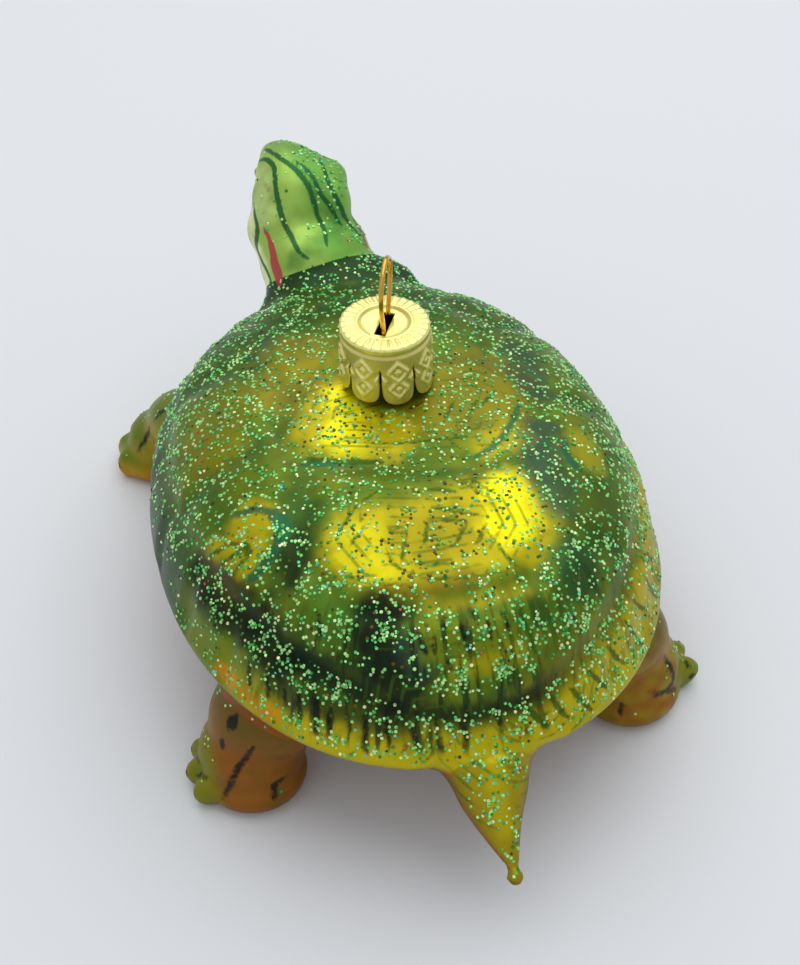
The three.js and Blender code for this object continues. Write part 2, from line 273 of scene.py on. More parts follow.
trunk = dict(halfWidth=34.1, frontReach=44.5, rearReach=42.9, squareness=2.14, rim=20, crown=40.9, belly=9.5,
             fullness=0.574, climb=1.05, flare=0.03, bellyFullness=0.6, bellyClimb=0.9)
collar = dict(centre=(-1.4, -37.6, 28.6), radii=(13.2, 8.4, 9.2), pitch=-0.5)
neck = dict(line=[(-1.2, -31.5, 20), (-0.2, -39.4, 28), (1.4, -45.4, 36.6), (1.6, -48.8, 43.2)],
            halves=[(7.6, 9), (7.5, 8.4), (9, 7.8), (8.8, 6)], throat=(6, -47.6, 38.6),
            throatRadii=(4.6, 4.4, 6.2))
head = dict(line=[(1.4, -43.5, 38), (1.6, -49, 42), (3.3, -54.8, 44.6), (5, -59.2, 45.8)],
            halves=[(8.4, 7), (7.6, 6.8), (4.6, 5.1), (3.4, 3.6)])
eye = dict(radius=1.8, middles=[(-4.3, -52.5, 43), (5.7, -54.4, 43.9)], swell=0.16, pupil="050706",
           ring="c6c02c", rest="1b2413", brows=[(-3, -50.8, 43.9), (5.1, -52.6, 45.5)],
           browRadii=[(2.9, 3.8, 2.9), (2.6, 3.6, 2.6)], cheeks=[(-1.6, -47.4, 42), (5.2, -49.5, 42.5)],
           cheekRadii=[(4, 4.6, 4.6), (4, 4.6, 4.2)])  # of each pair, the right one is first
tail = dict(line=[(0, 33, 19.5), (0.5, 40.5, 17.8), (0.7, 46.4, 13.4), (0.2, 52.9, 9.4)],
            halves=[(9, 5.6), (6.4, 4.8), (3.6, 3.1), (1.5, 1.4)], nub=(0.4, 52.8, 9.4), nubRadius=1.05)
rearLeg = dict(line=[(15, 20, 15), (21, 21.5, 14.5), (26, 21.2, 10.5), (26.4, 21.4, 5)],
               halves=[(7, 6), (7.6, 6.8), (7.2, 6.9), (6.4, 6)], pad=(26.8, 22.6, 2.6), padTurn=-0.2,
               padRadii=(7.2, 7, 4.4), shin=(26.6, 21.9, 6.4), shinRadii=(7.3, 6.8, 5.4),
               toeHalf=1.9, toeHeight=2.4, toes=[(34.2, 17), (35.8, 21), (35.4, 25.2)],
               rightToes=[(34.6, 14.8), (36.8, 18.4), (37.4, 22.4)])
frontLeg = dict(line=[(16, -28, 15), (21.5, -34, 14), (25.4, -40.5, 10), (27.4, -42.6, 5)],
                halves=[(6.4, 5.6), (6.2, 5.6), (5.4, 5.4), (4.8, 4.6)], pad=(28.6, -43.2, 2.6),
                padRadii=(5.8, 5.8, 4), padTurn=0.5, shin=(27.2, -42.4, 6.2), shinRadii=(5.6, 5.4, 4.8),
                toeHalf=1.9, toeHeight=2.4, toes=[(35, -41.4), (34.2, -46.4), (31, -50.2)])


def planShare(x, y):
    # 1 on the shell's outline seen from above, less inside it
    reach = np.where(y > 0, trunk["rearReach"], trunk["frontReach"])
    n = trunk["squareness"]
    return (np.abs(x / trunk["halfWidth"]) ** n + np.abs(y / reach) ** n) ** (1 / n)


def domeHeight(x, y):
    # height of the smooth dome over a place seen from above
    share = np.clip(planShare(x, y), 0, 1)
    a = np.arccos(share ** (1 / trunk["fullness"]))
    return trunk["rim"] + (trunk["crown"] - trunk["rim"]) * np.sin(a) ** trunk["climb"]


def outline(lon):
    # the shell's outline at angle lon from the turtle's left: a superellipse, longer in front
    power = 2 / trunk["squareness"]
    reach = np.where(np.sin(lon) > 0, trunk["rearReach"], trunk["frontReach"])
    x = np.sign(np.cos(lon)) * trunk["halfWidth"] * np.abs(np.cos(lon)) ** power
    return x, np.sign(np.sin(lon)) * reach * np.abs(np.sin(lon)) ** power


def shellPoint(lon, rise):
    # a place on the shell's wall at a share of the rise from the rim (0) to the crown (1) or the belly (-1)
    up = np.clip(rise, 0, 1) ** (1 / trunk["climb"])
    down = np.clip(-rise, 0, 1) ** (1 / trunk["bellyClimb"])
    edge = 1 - 0.05 * ramp(0, 0.3, down)
    below = np.sqrt(1 - down**2) ** trunk["bellyFullness"] * edge
    share = np.where(rise >= 0, np.sqrt(1 - up**2) ** trunk["fullness"], below)
    x, y = outline(lon)
    wall = (1 - np.exp(-((np.maximum(rise, 0) / 0.1) ** 2))) * (1 - ramp(0.4, 0.9, rise))
    share = share * (1 - trunk["flare"] * wall * ramp(-10, 30, y))
    span = np.where(rise >= 0, trunk["crown"] - trunk["rim"], trunk["rim"] - trunk["belly"])
    return np.stack([x * share, y * share, trunk["rim"] + rise * span], -1)


def trunkShell():
    def place(lon, lat):
        # the powers 1.6 and 1.4 crowd the rows towards the crown and the belly
        t = np.abs(lat) / (pi / 2)
        a = pi / 2 * (1 - (1 - t) ** 1.6)
        b = pi / 2 * (1 - (1 - t) ** 1.4)
        rise = np.where(lat >= 0, np.sin(a) ** trunk["climb"], -np.sin(b) ** trunk["bellyClimb"])
        return shellPoint(lon, rise)
    return closedGrid(place, 180, 120)


def blobShell(centre, radii, yaw=0.0, pitch=0.0, columns=40, rows=24):
    # a ball stretched to radii, pitched about X and then turned about Z
    turned = np.array(Matrix.Rotation(yaw, 3, "Z") @ Matrix.Rotation(pitch, 3, "X"))

    def place(lon, lat):
        ball = np.stack([np.cos(lat) * np.cos(lon), np.cos(lat) * np.sin(lon), np.sin(lat)], -1)
        return (ball * radii) @ turned.T + centre
    return closedGrid(place, columns, rows)


def limbShell(form, side=1):
    # elliptical rings about the smooth line of form, with blunt ends
    line = np.array(form["line"]) * (side, 1, 1)

    def place(lon, lat):
        t = 0.5 + lat / pi
        along = unit(curveThrough(line, t + 0.001) - curveThrough(line, t - 0.001))
        beside = unit(np.cross(along, (0, 0, 1)))
        over = np.cross(beside, along)
        size = curveThrough(form["halves"], t) * (np.clip(np.cos(lat), 0, 1) ** 0.55)[:, None]
        sideways = -np.cos(lon) * size[:, 0]
        upwards = np.sin(lon) * size[:, 1]
        return curveThrough(line, t) + beside * sideways[:, None] + over * upwards[:, None]
    return closedGrid(place, 40, 36)


def legShells(form, side):
    # limb, pad and shin, and a ball for each toe, stretched away from the pad
    padX, padY, _ = form["pad"]
    pad, shin = (np.multiply(form[name], (side, 1, 1)) for name in ("pad", "shin"))
    shells = [limbShell(form, side), blobShell(pad, form["padRadii"], side * form["padTurn"]),
              blobShell(shin, form["shinRadii"])]
    for x, y in form["toes"] if side > 0 else form.get("rightToes", form["toes"]):
        dx, dy = x - padX, y - padY
        long = np.hypot(dx, dy)
        middle = (side * (padX + dx * 0.62), padY + dy * 0.62, form["toeHeight"])
        radii = (long * 0.38, form["toeHalf"], form["toeHeight"] + 0.5)
        shells.append(blobShell(middle, radii, np.arctan2(dy, side * dx)))
    return shells


def browShells():
    # a brow over each eye and a cheek behind it
    brows = [blobShell(middle, radii, 0, 0.3) for middle, radii in zip(eye["brows"], eye["browRadii"])]
    return brows + [blobShell(middle, radii) for middle, radii in zip(eye["cheeks"], eye["cheekRadii"])]


def trunkLevel(p):
    # 1 on the trunk's wall, less inside it, more outside
    over = p[:, 2] - trunk["rim"]
    up = np.clip(over / (trunk["crown"] - trunk["rim"]), 0, 0.999) ** (1 / trunk["climb"])
    down = np.clip(-over / (trunk["rim"] - trunk["belly"]), 0, 0.999) ** (1 / trunk["bellyClimb"])
    upper, lower = np.sqrt(1 - up**2) ** trunk["fullness"], np.sqrt(1 - down**2) ** trunk["bellyFullness"]
    return planShare(p[:, 0], p[:, 1]) / np.where(over > 0, upper, lower)


def offTrunk(p):
    # rough distance outside the trunk's wall: its level over its slope, or how far past rim or belly
    step = 0.05
    slope = [(trunkLevel(p + axis) - trunkLevel(p - axis)) / (2 * step) for axis in np.eye(3) * step]
    gap = (trunkLevel(p) - 1) / np.maximum(np.linalg.norm(slope, axis=0), 0.005)
    return np.maximum.reduce([gap, 28 * (planShare(p[:, 0], p[:, 1]) - 1), trunk["belly"] - p[:, 2]])


def offCollar(p):
    # rough distance outside the swelling round the neck
    turned = np.array(Matrix.Rotation(collar["pitch"], 3, "X"))
    local = (p - collar["centre"]) @ turned / collar["radii"]
    return (np.linalg.norm(local, axis=1) - 1) * 9


def offFeet(p):
    # rough distance outside the closest foot's pad
    gaps = []
    for form, side in legPairs:
        turned = np.array(Matrix.Rotation(side * form["padTurn"], 3, "Z"))
        local = (p - np.multiply(form["pad"], (side, 1, 1))) @ turned / form["padRadii"]
        gaps.append((np.linalg.norm(local, axis=1) - 1) * 6)
    return np.minimum.reduce(gaps)


def nearest(points, marks):
    # distance from each point to the closest mark and that mark's number, worked in blocks
    distance, which = np.empty(len(points)), np.empty(len(points), int)
    for start in range(0, len(points), 4000):
        part = slice(start, start + 4000)
        block = points[part]
        squares = (block**2).sum(1)[:, None] - 2 * block @ marks.T + (marks**2).sum(1)
        which[part] = squares.argmin(1)
        distance[part] = np.sqrt(np.maximum(squares.min(1), 0))
    return distance, which


skinBuild = dict(voxel=0.47, rounds=30, legFillet=2.2, footFillet=5.5, tailFillet=4.5, neckFillet=1.2,
                 collarFillet=3, strength=0.75)
limbs = {"neck": [limbShell(neck), blobShell(neck["throat"], neck["throatRadii"], 0, collar["pitch"])]}
limbs["tail"] = [limbShell(tail), blobShell(tail["nub"], [tail["nubRadius"]] * 3)]
limbs["head"] = [limbShell(head), *browShells()]
legPairs = [(form, side) for side in (-1, 1) for form in (rearLeg, frontLeg)]
limbs["legs"] = [shell for form, side in legPairs for shell in legShells(form, side)]
collarShell = blobShell(collar["centre"], collar["radii"], 0, collar["pitch"], 80, 50)


def remeshed(shells, voxel):
    # the outer surface of overlapping closed shells, as even quads
    points, faces = joined(shells)
    mesh = bpy.data.meshes.new("form")
    mesh.from_pydata(points.tolist(), [], faces)
    form = bpy.data.objects.new("form", mesh)
    bpy.context.scene.collection.objects.link(form)
    remesh = form.modifiers.new("oneSkin", "REMESH")
    remesh.mode = "VOXEL"
    remesh.voxel_size = voxel
    made = form.evaluated_get(bpy.context.evaluated_depsgraph_get()).to_mesh()
    co = np.empty(len(made.vertices) * 3, np.float32)
    made.vertices.foreach_get("co", co)
    corners = np.empty(len(made.loops), np.int32)
    made.loops.foreach_get("vertex_index", corners)
    bpy.data.objects.remove(form)
    bpy.data.meshes.remove(mesh)
    return co.reshape(-1, 3).astype(float), corners.reshape(-1, 4)


def edgesOf(quads):
    # each edge once, as a pair of point numbers
    pairs = np.sort(np.concatenate([quads[:, [k, (k + 1) % 4]] for k in range(4)]), 1)
    return np.unique(pairs, axis=0)


def relaxed(points, edges, strength, rounds):
    # each round moves a point towards the mean of its neighbours by its strength
    a, b = edges.T
    count = np.bincount(edges.ravel(), minlength=len(points))[:, None]
    for _ in range(rounds):
        total = np.empty_like(points)
        for axis in range(3):
            v = points[:, axis]
            total[:, axis] = np.bincount(a, v[b], len(points)) + np.bincount(b, v[a], len(points))
        points = points + strength[:, None] * (total / count - points)
    return points


def normalsOf(points, quads):
    # the mean of the normals of the quads round each point; a quad's is the cross of its diagonals
    diagonals = np.cross(points[quads[:, 2]] - points[quads[:, 0]], points[quads[:, 3]] - points[quads[:, 1]])
    total = [np.bincount(quads.ravel(), np.repeat(diagonals[:, k], 4), len(points)) for k in range(3)]
    return unit(np.stack(total, -1))


def crossing(shells, level):
    # the points of some shells that lie close to where a level function is zero
    points = np.vstack([p for p, _ in shells])
    return points[np.abs(level(points)) < 0.6]


def keepLargest(points, quads, edges):
    # drops anything left inside the skin: labels spread along edges until none changes
    label = np.arange(len(points))
    while True:
        low = np.minimum(label[edges[:, 0]], label[edges[:, 1]])
        new = label.copy()
        np.minimum.at(new, edges[:, 0], low)
        np.minimum.at(new, edges[:, 1], low)
        new = new[new]
        if (new == label).all():
            break
        label = new
    kept = label == np.bincount(label).argmax()
    number = np.cumsum(kept) - 1
    return points[kept], number[quads[kept[quads[:, 0]]]]


allShells = [trunkShell(), collarShell] + [s for group in limbs.values() for s in group]
skinPoints, quads = remeshed(allShells, skinBuild["voxel"])
skinPoints, quads = keepLargest(skinPoints, quads, edgesOf(quads))
edges = edgesOf(quads)
print("skin form:", len(skinPoints), "points")



def offBody(p):
    # rough distance outside trunk and collar
    return np.minimum(offTrunk(p), offCollar(p))


fillets = dict(legFillet=crossing(limbs["legs"], offTrunk),
               footFillet=crossing([limbShell(form, side) for form, side in legPairs], offFeet),
               tailFillet=crossing(limbs["tail"][:1], offTrunk),
               collarFillet=crossing([collarShell], offTrunk),
               neckFillet=crossing(limbs["neck"][:1], offBody))
softness = np.zeros(len(skinPoints))
for name, marks in fillets.items():
    width = skinBuild[name]
    softness = np.maximum(softness, 1 - ramp(width * 0.3, width, nearest(skinPoints, marks)[0]))
x, y, z = skinPoints.T
softness = np.maximum.reduce([
    softness,
    0.05 * ramp(7, 4, z) * ramp(26, 29, np.abs(x)),  # toes
    0.55 * ramp(18, 21, np.abs(x)) * ramp(4.5, 7, z) * ramp(17, 14, z),  # limbs
    0.4 * ramp(-39, -43, y) * ramp(30, 36, z)])  # head
skinPoints = relaxed(skinPoints, edges, skinBuild["strength"] * softness, skinBuild["rounds"])
for _ in range(4):  # takes the voxels' ripple out without shrinking
    skinPoints = relaxed(skinPoints, edges, np.full(len(skinPoints), 0.5), 1)
    skinPoints = relaxed(skinPoints, edges, np.full(len(skinPoints), -0.53), 1)
if (skinPoints[quads[:, 0]] * np.cross(skinPoints[quads[:, 1]], skinPoints[quads[:, 2]])).sum() < 0:
    quads = quads[:, ::-1]
print("skin relaxed")

# Seams are lines through places seen from above; each pair of numbers is x, y.
scutes = dict(depth=0.5, width=3.6, marginals=24, marginalTop=0.5, marginalDip=0.22)
leftKeel = [(8, -38), (15, -31), (12.5, -25), (17.5, -17), (13.2, -9.5), (17.2, -0.5), (14.6, 6.4),
            (18.4, 19.7), (14.8, 28.6), (19.3, 34.6)]
rightKeel = [(-8, -38), (-15, -31), (-12.5, -25), (-18, -16.5), (-14.5, -9), (-20.2, -1), (-11.6, 13.2),
             (-12.8, 24.4), (-6.6, 31.7), (-6.4, 40.2)]
crossSeams = [[(12.5, -25), (0, -26), (-12.5, -25)], [(13.2, -9.5), (0, -10.5), (-14.5, -9)],
              [(14.6, 6.4), (6, 9.4), (-0.6, 11.6), (-11.6, 13.2)],
              [(14.8, 28.6), (8, 31.2), (1.5, 32), (-6.6, 31.7)]]
costalSeams = [[(15, -31), (22, -34)], [(-15, -31), (-22, -34)], [(17.5, -17), (24, -18.5), (30.6, -20.5)],
               [(-18, -16.5), (-24, -18), (-30.6, -20.5)], [(17.2, -0.5), (25, 1), (33, 2.5)],
               [(-20.2, -1), (-26, 1.5), (-33, 3.5)], [(18.4, 19.7), (23.4, 22.6), (28.2, 23.8)],
               [(-12.8, 24.4), (-17.3, 25.4), (-21.6, 25.6), (-27, 25.6)]]


def lifted(places):
    # places seen from above, set on the dome; a place that has its own height keeps it
    return np.array([p if len(p) == 3 else (*p, domeHeight(*p)) for p in places], float)


def walked(corners, step=0.4):
    # points every step along straight lines between corners seen from above, then set on the dome
    c = np.asarray(corners, float)
    runs = [np.linspace(a, b, max(2, int(np.linalg.norm(b - a) / step))) for a, b in zip(c[:-1], c[1:])]
    return lifted(np.vstack(runs))


def marginalTop(lon):
    # where the marginal plates end up the wall, lower over the tail
    return scutes["marginalTop"] - scutes["marginalDip"] * np.maximum(0, np.sin(lon)) ** 6


def wallAngle(p):
    # the outline angle of a place, from the turtle's left
    power = trunk["squareness"] / 2
    reach = np.where(p[:, 1] > 0, trunk["rearReach"], trunk["frontReach"])
    s = np.sign(p[:, 1]) * np.abs(p[:, 1] / reach) ** power
    return np.arctan2(s, np.sign(p[:, 0]) * np.abs(p[:, 0] / trunk["halfWidth"]) ** power)


ringAngles = np.linspace(-pi, pi, 900)
ringSeam = shellPoint(ringAngles, marginalTop(ringAngles))
stepAngles = np.arange(scutes["marginals"]) * 2 * pi / scutes["marginals"]
shares = np.linspace(0.02, 1, 26)
marginalSeams = np.vstack([shellPoint(np.full(26, a), shares * marginalTop(a)) for a in stepAngles])
plateSeams = np.vstack([walked(line) for line in [leftKeel, rightKeel, *crossSeams, *costalSeams]])
plateRise = (plateSeams[:, 2] - trunk["rim"]) / (trunk["crown"] - trunk["rim"])
plateSeams = plateSeams[plateRise > marginalTop(wallAngle(plateSeams)) - 0.02]
acrossBelly = [[(-27, y), (27, y)] for y in (-24, -10, 6, 20)]
bellySeams = np.vstack([walked(line) for line in [[(0, -36), (0, 36)], *acrossBelly]])
bellySeams[:, 2] = trunk["belly"] + 0.3

x, y, z = skinPoints.T
plainNormals = normalsOf(skinPoints, quads)  # without the grooves
trunkGap, collarGap = offTrunk(skinPoints), offCollar(skinPoints)
crease = ramp(3, 1, np.maximum(trunkGap, collarGap)) * (y < -25)
offShell = np.minimum(trunkGap, collarGap) - 0.25 - 1.5 * crease  # the crease is painted as shell
rise = (z - trunk["rim"]) / (trunk["crown"] - trunk["rim"])
lon = wallAngle(skinPoints)
isShell = ramp(0.8, 0.1, offShell)
aboveRim = ramp(-0.02, 0.04, rise)
plateGap, ringGap, marginalGap, bellyGap = (nearest(skinPoints, seams)[0] for seams in (
    plateSeams, ringSeam, marginalSeams, bellySeams))
width = scutes["width"]
rear = ramp(0, 30, y)
depth = np.maximum(1 - ramp(0, width, plateGap), (1 - ramp(0, width, ringGap)) * (1 + 0.8 * rear))
depth = np.maximum(depth, (1.3 - 0.5 * rear) * (1 - ramp(0, width * 0.7, marginalGap)))
depth = depth * scutes["depth"] * isShell * aboveRim
depth += 0.35 * (1 - ramp(0, 1.2, bellyGap)) * isShell * ramp(14, 12.5, z)
mouth = dict(height=42.6, back=-50.6, drop=0.12, half=0.6, depth=0.34)
fromSnout = y - head["line"][-1][1]
mouthHeight = mouth["height"] - mouth["drop"] * fromSnout - 0.5 * ramp(4, 9, fromSnout)
isMouth = ramp(mouth["back"] + 1, mouth["back"] - 1, y) * (offShell > 3)
depth += mouth["depth"] * (1 - ramp(0, mouth["half"] * 1.6, np.abs(z - mouthHeight))) * isMouth
skinPoints = skinPoints - plainNormals * depth[:, None]
skinPoints[:, 2] = np.maximum(skinPoints[:, 2], 0)
normals = normalsOf(skinPoints, quads)
skinTree = BVHTree.FromPolygons(skinPoints.tolist(), quads.tolist())
print("scutes moulded")


# The paint is laid on the skin's points: coats by formula, then sprays along lines, then brush strokes.
lacquer = dict(olive="74810f", greenOlive="4e6f17", leaf="2f6e1c", moss="2a4c19", bottle="14482a",
               slate="31483c", ink="07130c", gold="bdae0a", bright="fdf000", amberGold="9a870e",
               umber="6c5110",
               amber="8a560f", rust="8a4314", orange="dc8a14", lime="a4c65a", headGreen="7db24a",
               deepHead="3f7c30", throat="e6ebb0", belly="b88420")
lacquer = {name: toLinear(value) for name, value in lacquer.items()}


def around(marks, reach):
    # the numbers of the skin's points inside a box round the marks
    return np.flatnonzero(((skinPoints > marks.min(0) - reach) & (skinPoints < marks.max(0) + reach)).all(1))


def spray(paint, colour, strength, core, fade, places):
    # a soft pass of the airbrush: full inside core of the line through places, gone at core and fade
    marks = lifted(places)
    if len(marks) > 1:
        marks = curveThrough(marks, np.linspace(0, 1, 4 * len(marks) + 9))
    near = around(marks, core + fade + 1)
    gap = nearest(skinPoints[near], marks)[0] + sprayWander[near] * fade * 0.35
    cover = strength * (1 - ramp(core, core + fade, gap))[:, None]
    paint[near] = paint[near] * (1 - cover) + lacquer[colour] * cover


def coats(paint, layers):
    # coats one over another, each a colour and its cover worked out by formula
    for colour, cover in layers:
        cover = np.clip(cover, 0, 1)[:, None]
        paint[:] = paint * (1 - cover) + lacquer[colour] * cover


sprayWander = 0.6 * ripple(skinPoints, 5, 11) + 0.5 * ripple(skinPoints, 2.2, 12)
mottle = ripple(skinPoints, 9, 3)
fine = ripple(skinPoints, 3.2, 5)
x, y, z = skinPoints.T
isCollar = ramp(0.3, 0.9, offTrunk(skinPoints)) * ramp(-28, -31, y)
rightRear = ramp(0, -12, x) * ramp(-12, 6, y)
plateShade = 1 - ramp(0.4, 3.4 + mottle, plateGap)
shellPaint = np.tile(lacquer["olive"], (len(skinPoints), 1))
coats(shellPaint, [
    ("greenOlive", 0.5 + 0.5 * mottle),
    ("moss", 0.7 * ramp(-9, -26, y) + 0.2 * fine),
    # slate on the lower walls in front: grey-green lacquer with a painted grazing sheen
    ("slate", 0.85 * ramp(0.66, 0.3, rise) * ramp(20, 2, y) * (1 - 0.85 * rightRear)),
    ("bottle", 0.36 * plateShade * (0.7 + 0.5 * fine)),
    ("olive", 0.8 * ramp(0.42, 0.15, rise) * ramp(8, 22, y)),
    ("amberGold", 0.75 * ramp(0.6, 0.3, rise) * rightRear * ramp(0, 14, y)),
    # gold on the rear's lower wall: yellow lacquer and a painted highlight along the edge
    ("gold", 0.75 * ramp(0.3, 0.08, rise) * ramp(18, 30, y))])
shellSprays = [
    # colour, strength, core, fade, line of places
    ("amberGold", 0.65, 3, 4.5, [(10.7, -14), (12.5, -8), (9.5, -4)]),
    ("amberGold", 0.6, 3, 4.5, [(-7, -3), (-13, -4.5), (-12, 2.4), (-2, 2.2)]),
    ("amberGold", 0.45, 3, 4, [(25, -3), (22.5, -10)]),
    ("gold", 0.9, 3, 3.6, [(6.5, -4.5), (9.4, 2), (4, 4.6)]),
    # bright yellow lacquer on the third plate's left, raised to a painted highlight
    ("bright", 1, 1.1, 3.2, [(5.9, -4.6), (7.4, 0), (8.6, 3.6)]),
    ("gold", 0.8, 1.1, 2.4, [(-9, 9.6), (-13.6, 8.2)]),
    ("gold", 0.86, 5.2, 3.6, [(9.4, 22.4), (1, 22.6), (-7.4, 21.4)]),
    ("greenOlive", 0.55, 1.2, 3, [(8, 14), (-0.6, 14.3)]),
    ("amberGold", 0.5, 2.6, 3, [(4.4, 22.6), (0, 22.6)]),
    # bright yellow on the fourth plate's right: lacquer and a painted highlight
    ("bright", 1, 1.6, 3.2, [(-8.6, 17.6), (-9.2, 20.6), (-7.4, 22.6)]),
    # bright yellow on the fourth plate's left: lacquer and a weaker painted highlight
    ("bright", 0.35, 1.2, 3, [(10.6, 20.9), (12, 23.4), (9.6, 25.4)]),
    ("gold", 0.7, 0.5, 1.8, [(-8.2, 27)]),
    ("umber", 0.55, 0.5, 1.6, [(9, 28.2), (5.5, 29), (0, 29)]),
    ("gold", 0.6, 0.4, 1.4, [(5.3, 31.2), (0.4, 31.7), (-6.6, 31.4)]),
    ("leaf", 0.6, 1, 2.6, [(16.7, 25), (12.7, 28.7)]),
    ("greenOlive", 0.6, 2.4, 2.8, [(19.6, 28.4), (15.4, 31)]),
    ("olive", 0.8, 2.2, 2.8, [(5.8, 35.6), (0.2, 36.4), (-4.6, 35.8)]),
    ("gold", 0.5, 0.6, 1.8, [(3, 38), (-4.4, 37.6)]),
    ("leaf", 0.45, 0.6, 2, [(-4.8, 33.4), (-8.6, 34.4)]),
    ("bottle", 0.8, 1.8, 3.2, [(-15, 28), (-14.3, 30.4)]),
    ("slate", 0.75, 1.2, 3, [(-16.7, 7.7), (-15.2, 13.5), (-14.8, 20)]),
    ("moss", 0.55, 2.6, 3, [(-19, 17.6), (-20.4, 23)]),
    ("slate", 0.7, 1.4, 2.8, [(-19.5, -9), (-19, -1)]),
    ("gold", 0.6, 1.4, 2, [(-22.2, 9.8), (-22.2, 13)]),
    ("moss", 0.6, 1, 2.8, [(17.2, 11), (17.8, 16), (20.6, 21.4)]),
    ("ink", 0.75, 0.7, 2.4, [(18.4, 17.6), (19.6, 21.4)]),
    ("gold", 0.95, 2.4, 2.2, [(23, 12.2), (24.6, 14.6), (27.2, 16.2), (28, 13.4)]),
    ("ink", 0.9, 2.2, 3.6, [(30.2, 13.1), (27.8, 18.6), (26, 23.5), (23.6, 27.6)]),
    ("ink", 0.7, 1, 2.8, [(23, 29.2), (20.5, 31.4), (16.2, 34)]),
    ("ink", 0.95, 1.8, 3.4, [(11.2, 30.8), (11.6, 34), (11.2, 36.5), (9.6, 38)]),
    # painted grey sheen on the last plate's left side
    ("slate", 0.65, 0.7, 1.8, [(8.8, 33.6), (8.2, 37.2)]),
    # gold along the rear rim's lower edge: yellow lacquer and a painted highlight
    ("gold", 0.9, 1.8, 2.4, [(20.4, 34.6, 21.6), (14, 39.1, 21.6), (7.2, 41.6, 21.4), (0, 42.7, 21.4)]),
    ("gold", 0.88, 1.8, 2.8, [(-8, 41.2, 22.4), (-13.9, 38.8, 23.4), (-20, 34.2, 24.5), (-25.9, 27.4, 26)]),
    ("gold", 0.75, 1.8, 3, [(-27.5, 25, 26), (-30.4, 18, 26.6), (-32.2, 10, 27), (-33, 3, 27)]),
    ("ink", 0.7, 1, 2.6, [(24, 29.4, 25), (17, 35.4, 25.6), (11, 38.8, 25.6)]),
    ("orange", 0.75, 0.4, 1.5, [(29.2, 20.8, 21.4), (24.8, 29.6, 21.2)]),
]
for entry in shellSprays:
    spray(shellPaint, *entry)
ringShade = (1 - ramp(0.4, 3 + mottle, ringGap)) * ramp(16, 30, y)
coats(shellPaint, [
    ("ink", 0.88 * ringShade * ramp(-14, -5, x)),
    ("bottle", 0.15 * ringShade * ramp(-4, -16, x)),
    ("moss", 0.85 * isCollar),
    ("slate", 0.5 * isCollar * (0.6 + 0.4 * fine)),
    ("ink", 0.35 * isCollar),
    ("rust", ramp(-0.01, -0.1, rise) * (1 - isCollar)),
    ("amber", ramp(-0.08, -0.3, rise) * (1 - isCollar)),
    ("belly", ramp(14.5, 11.5, z) * (1 - isCollar)),
    ("ink", 0.7 * ramp(14, 12, z) * ramp(0.15, 0.6, ripple(skinPoints, 14, 8))),
    ("umber", 0.8 * ramp(12.6, 12, z) * (1 - ramp(0.1, 0.8, bellyGap)))])

bodyPaint = np.tile(lacquer["amber"], (len(skinPoints), 1))
upward = normals[:, 2]
isLeg = ramp(15, 19, np.abs(x))
inFront = isLeg * ramp(-20, -26, y)
isTail = ramp(36, 40, y) * ramp(10, 8, np.abs(x))
isHead = ramp(-34, -36, y) * ramp(16, 14, np.abs(x)) * ramp(17, 20, z)
coats(bodyPaint, [
    ("rust", 0.3 + 0.3 * mottle),
    ("umber", 0.5 * ramp(0.1, 0.9, fine)),
    ("amberGold", isLeg * (0.35 + 0.35 * fine) * ramp(18, 0, x)),
    ("moss", 0.5 * isLeg * ramp(11, 16.5, z)),
    ("olive", 0.75 * isLeg * ramp(31, 33.5, np.abs(x))),
    ("amberGold", 0.9 * inFront),
    ("greenOlive", 0.7 * inFront * ramp(0, 0.6, upward)),
    ("orange", 0.5 * inFront * ramp(4.5, 1.5, z)),
    ("amberGold", isTail),
    ("gold", 0.4 * isTail * ramp(0.2, 0.8, upward) * ramp(51.5, 48, y)),
    ("amber", 0.85 * isTail * ramp(0.35, -0.1, upward)),
    ("headGreen", isHead),
    ("lime", 0.9 * isHead * ramp(-0.4, 3.6, x - 0.15 * (z - 42))),
    ("throat", isHead * ramp(-0.05, -0.5, plainNormals[:, 2]))])
bodySprays = [
    ("gold", 0.7, 0.3, 1.5, [(-0.3, 41.4, 22.1), (0.9, 45.8, 19.1), (0.5, 49.2, 14.2)]),
    ("deepHead", 0.4, 0.6, 2, [(4.2, -56, 48), (1.8, -50, 49), (-0.4, -45.6, 46.4), (-2, -42.8, 42)]),
    ("deepHead", 0.6, 0.5, 1.8, [(-1.6, -41.6, 40.4), (1.6, -39.4, 39.6), (5, -38.8, 38.4)]),
    ("throat", 0.95, 0.8, 1.6, [(10.2, -47.6, 41.4), (9.9, -46.2, 38), (9.5, -43, 35.4), (8.8, -40.4, 33)]),
    ("throat", 0.35, 0.8, 2, [(7.8, -49.6, 46.2), (8.2, -45.6, 42.4)]),
    ("umber", 0.45, 0.1, 0.7, [(7, -47.3, 45.8)]), ("rust", 0.5, 0.05, 0.5, [(7.3, -48.4, 46)]),
    ("umber", 0.35, 0.1, 0.6, [(6.8, -46.2, 45)]), ("umber", 0.35, 0.05, 0.5, [(7.9, -45.2, 43.2)]),
]
for entry in bodySprays:
    spray(bodyPaint, *entry)
print("sprays laid")

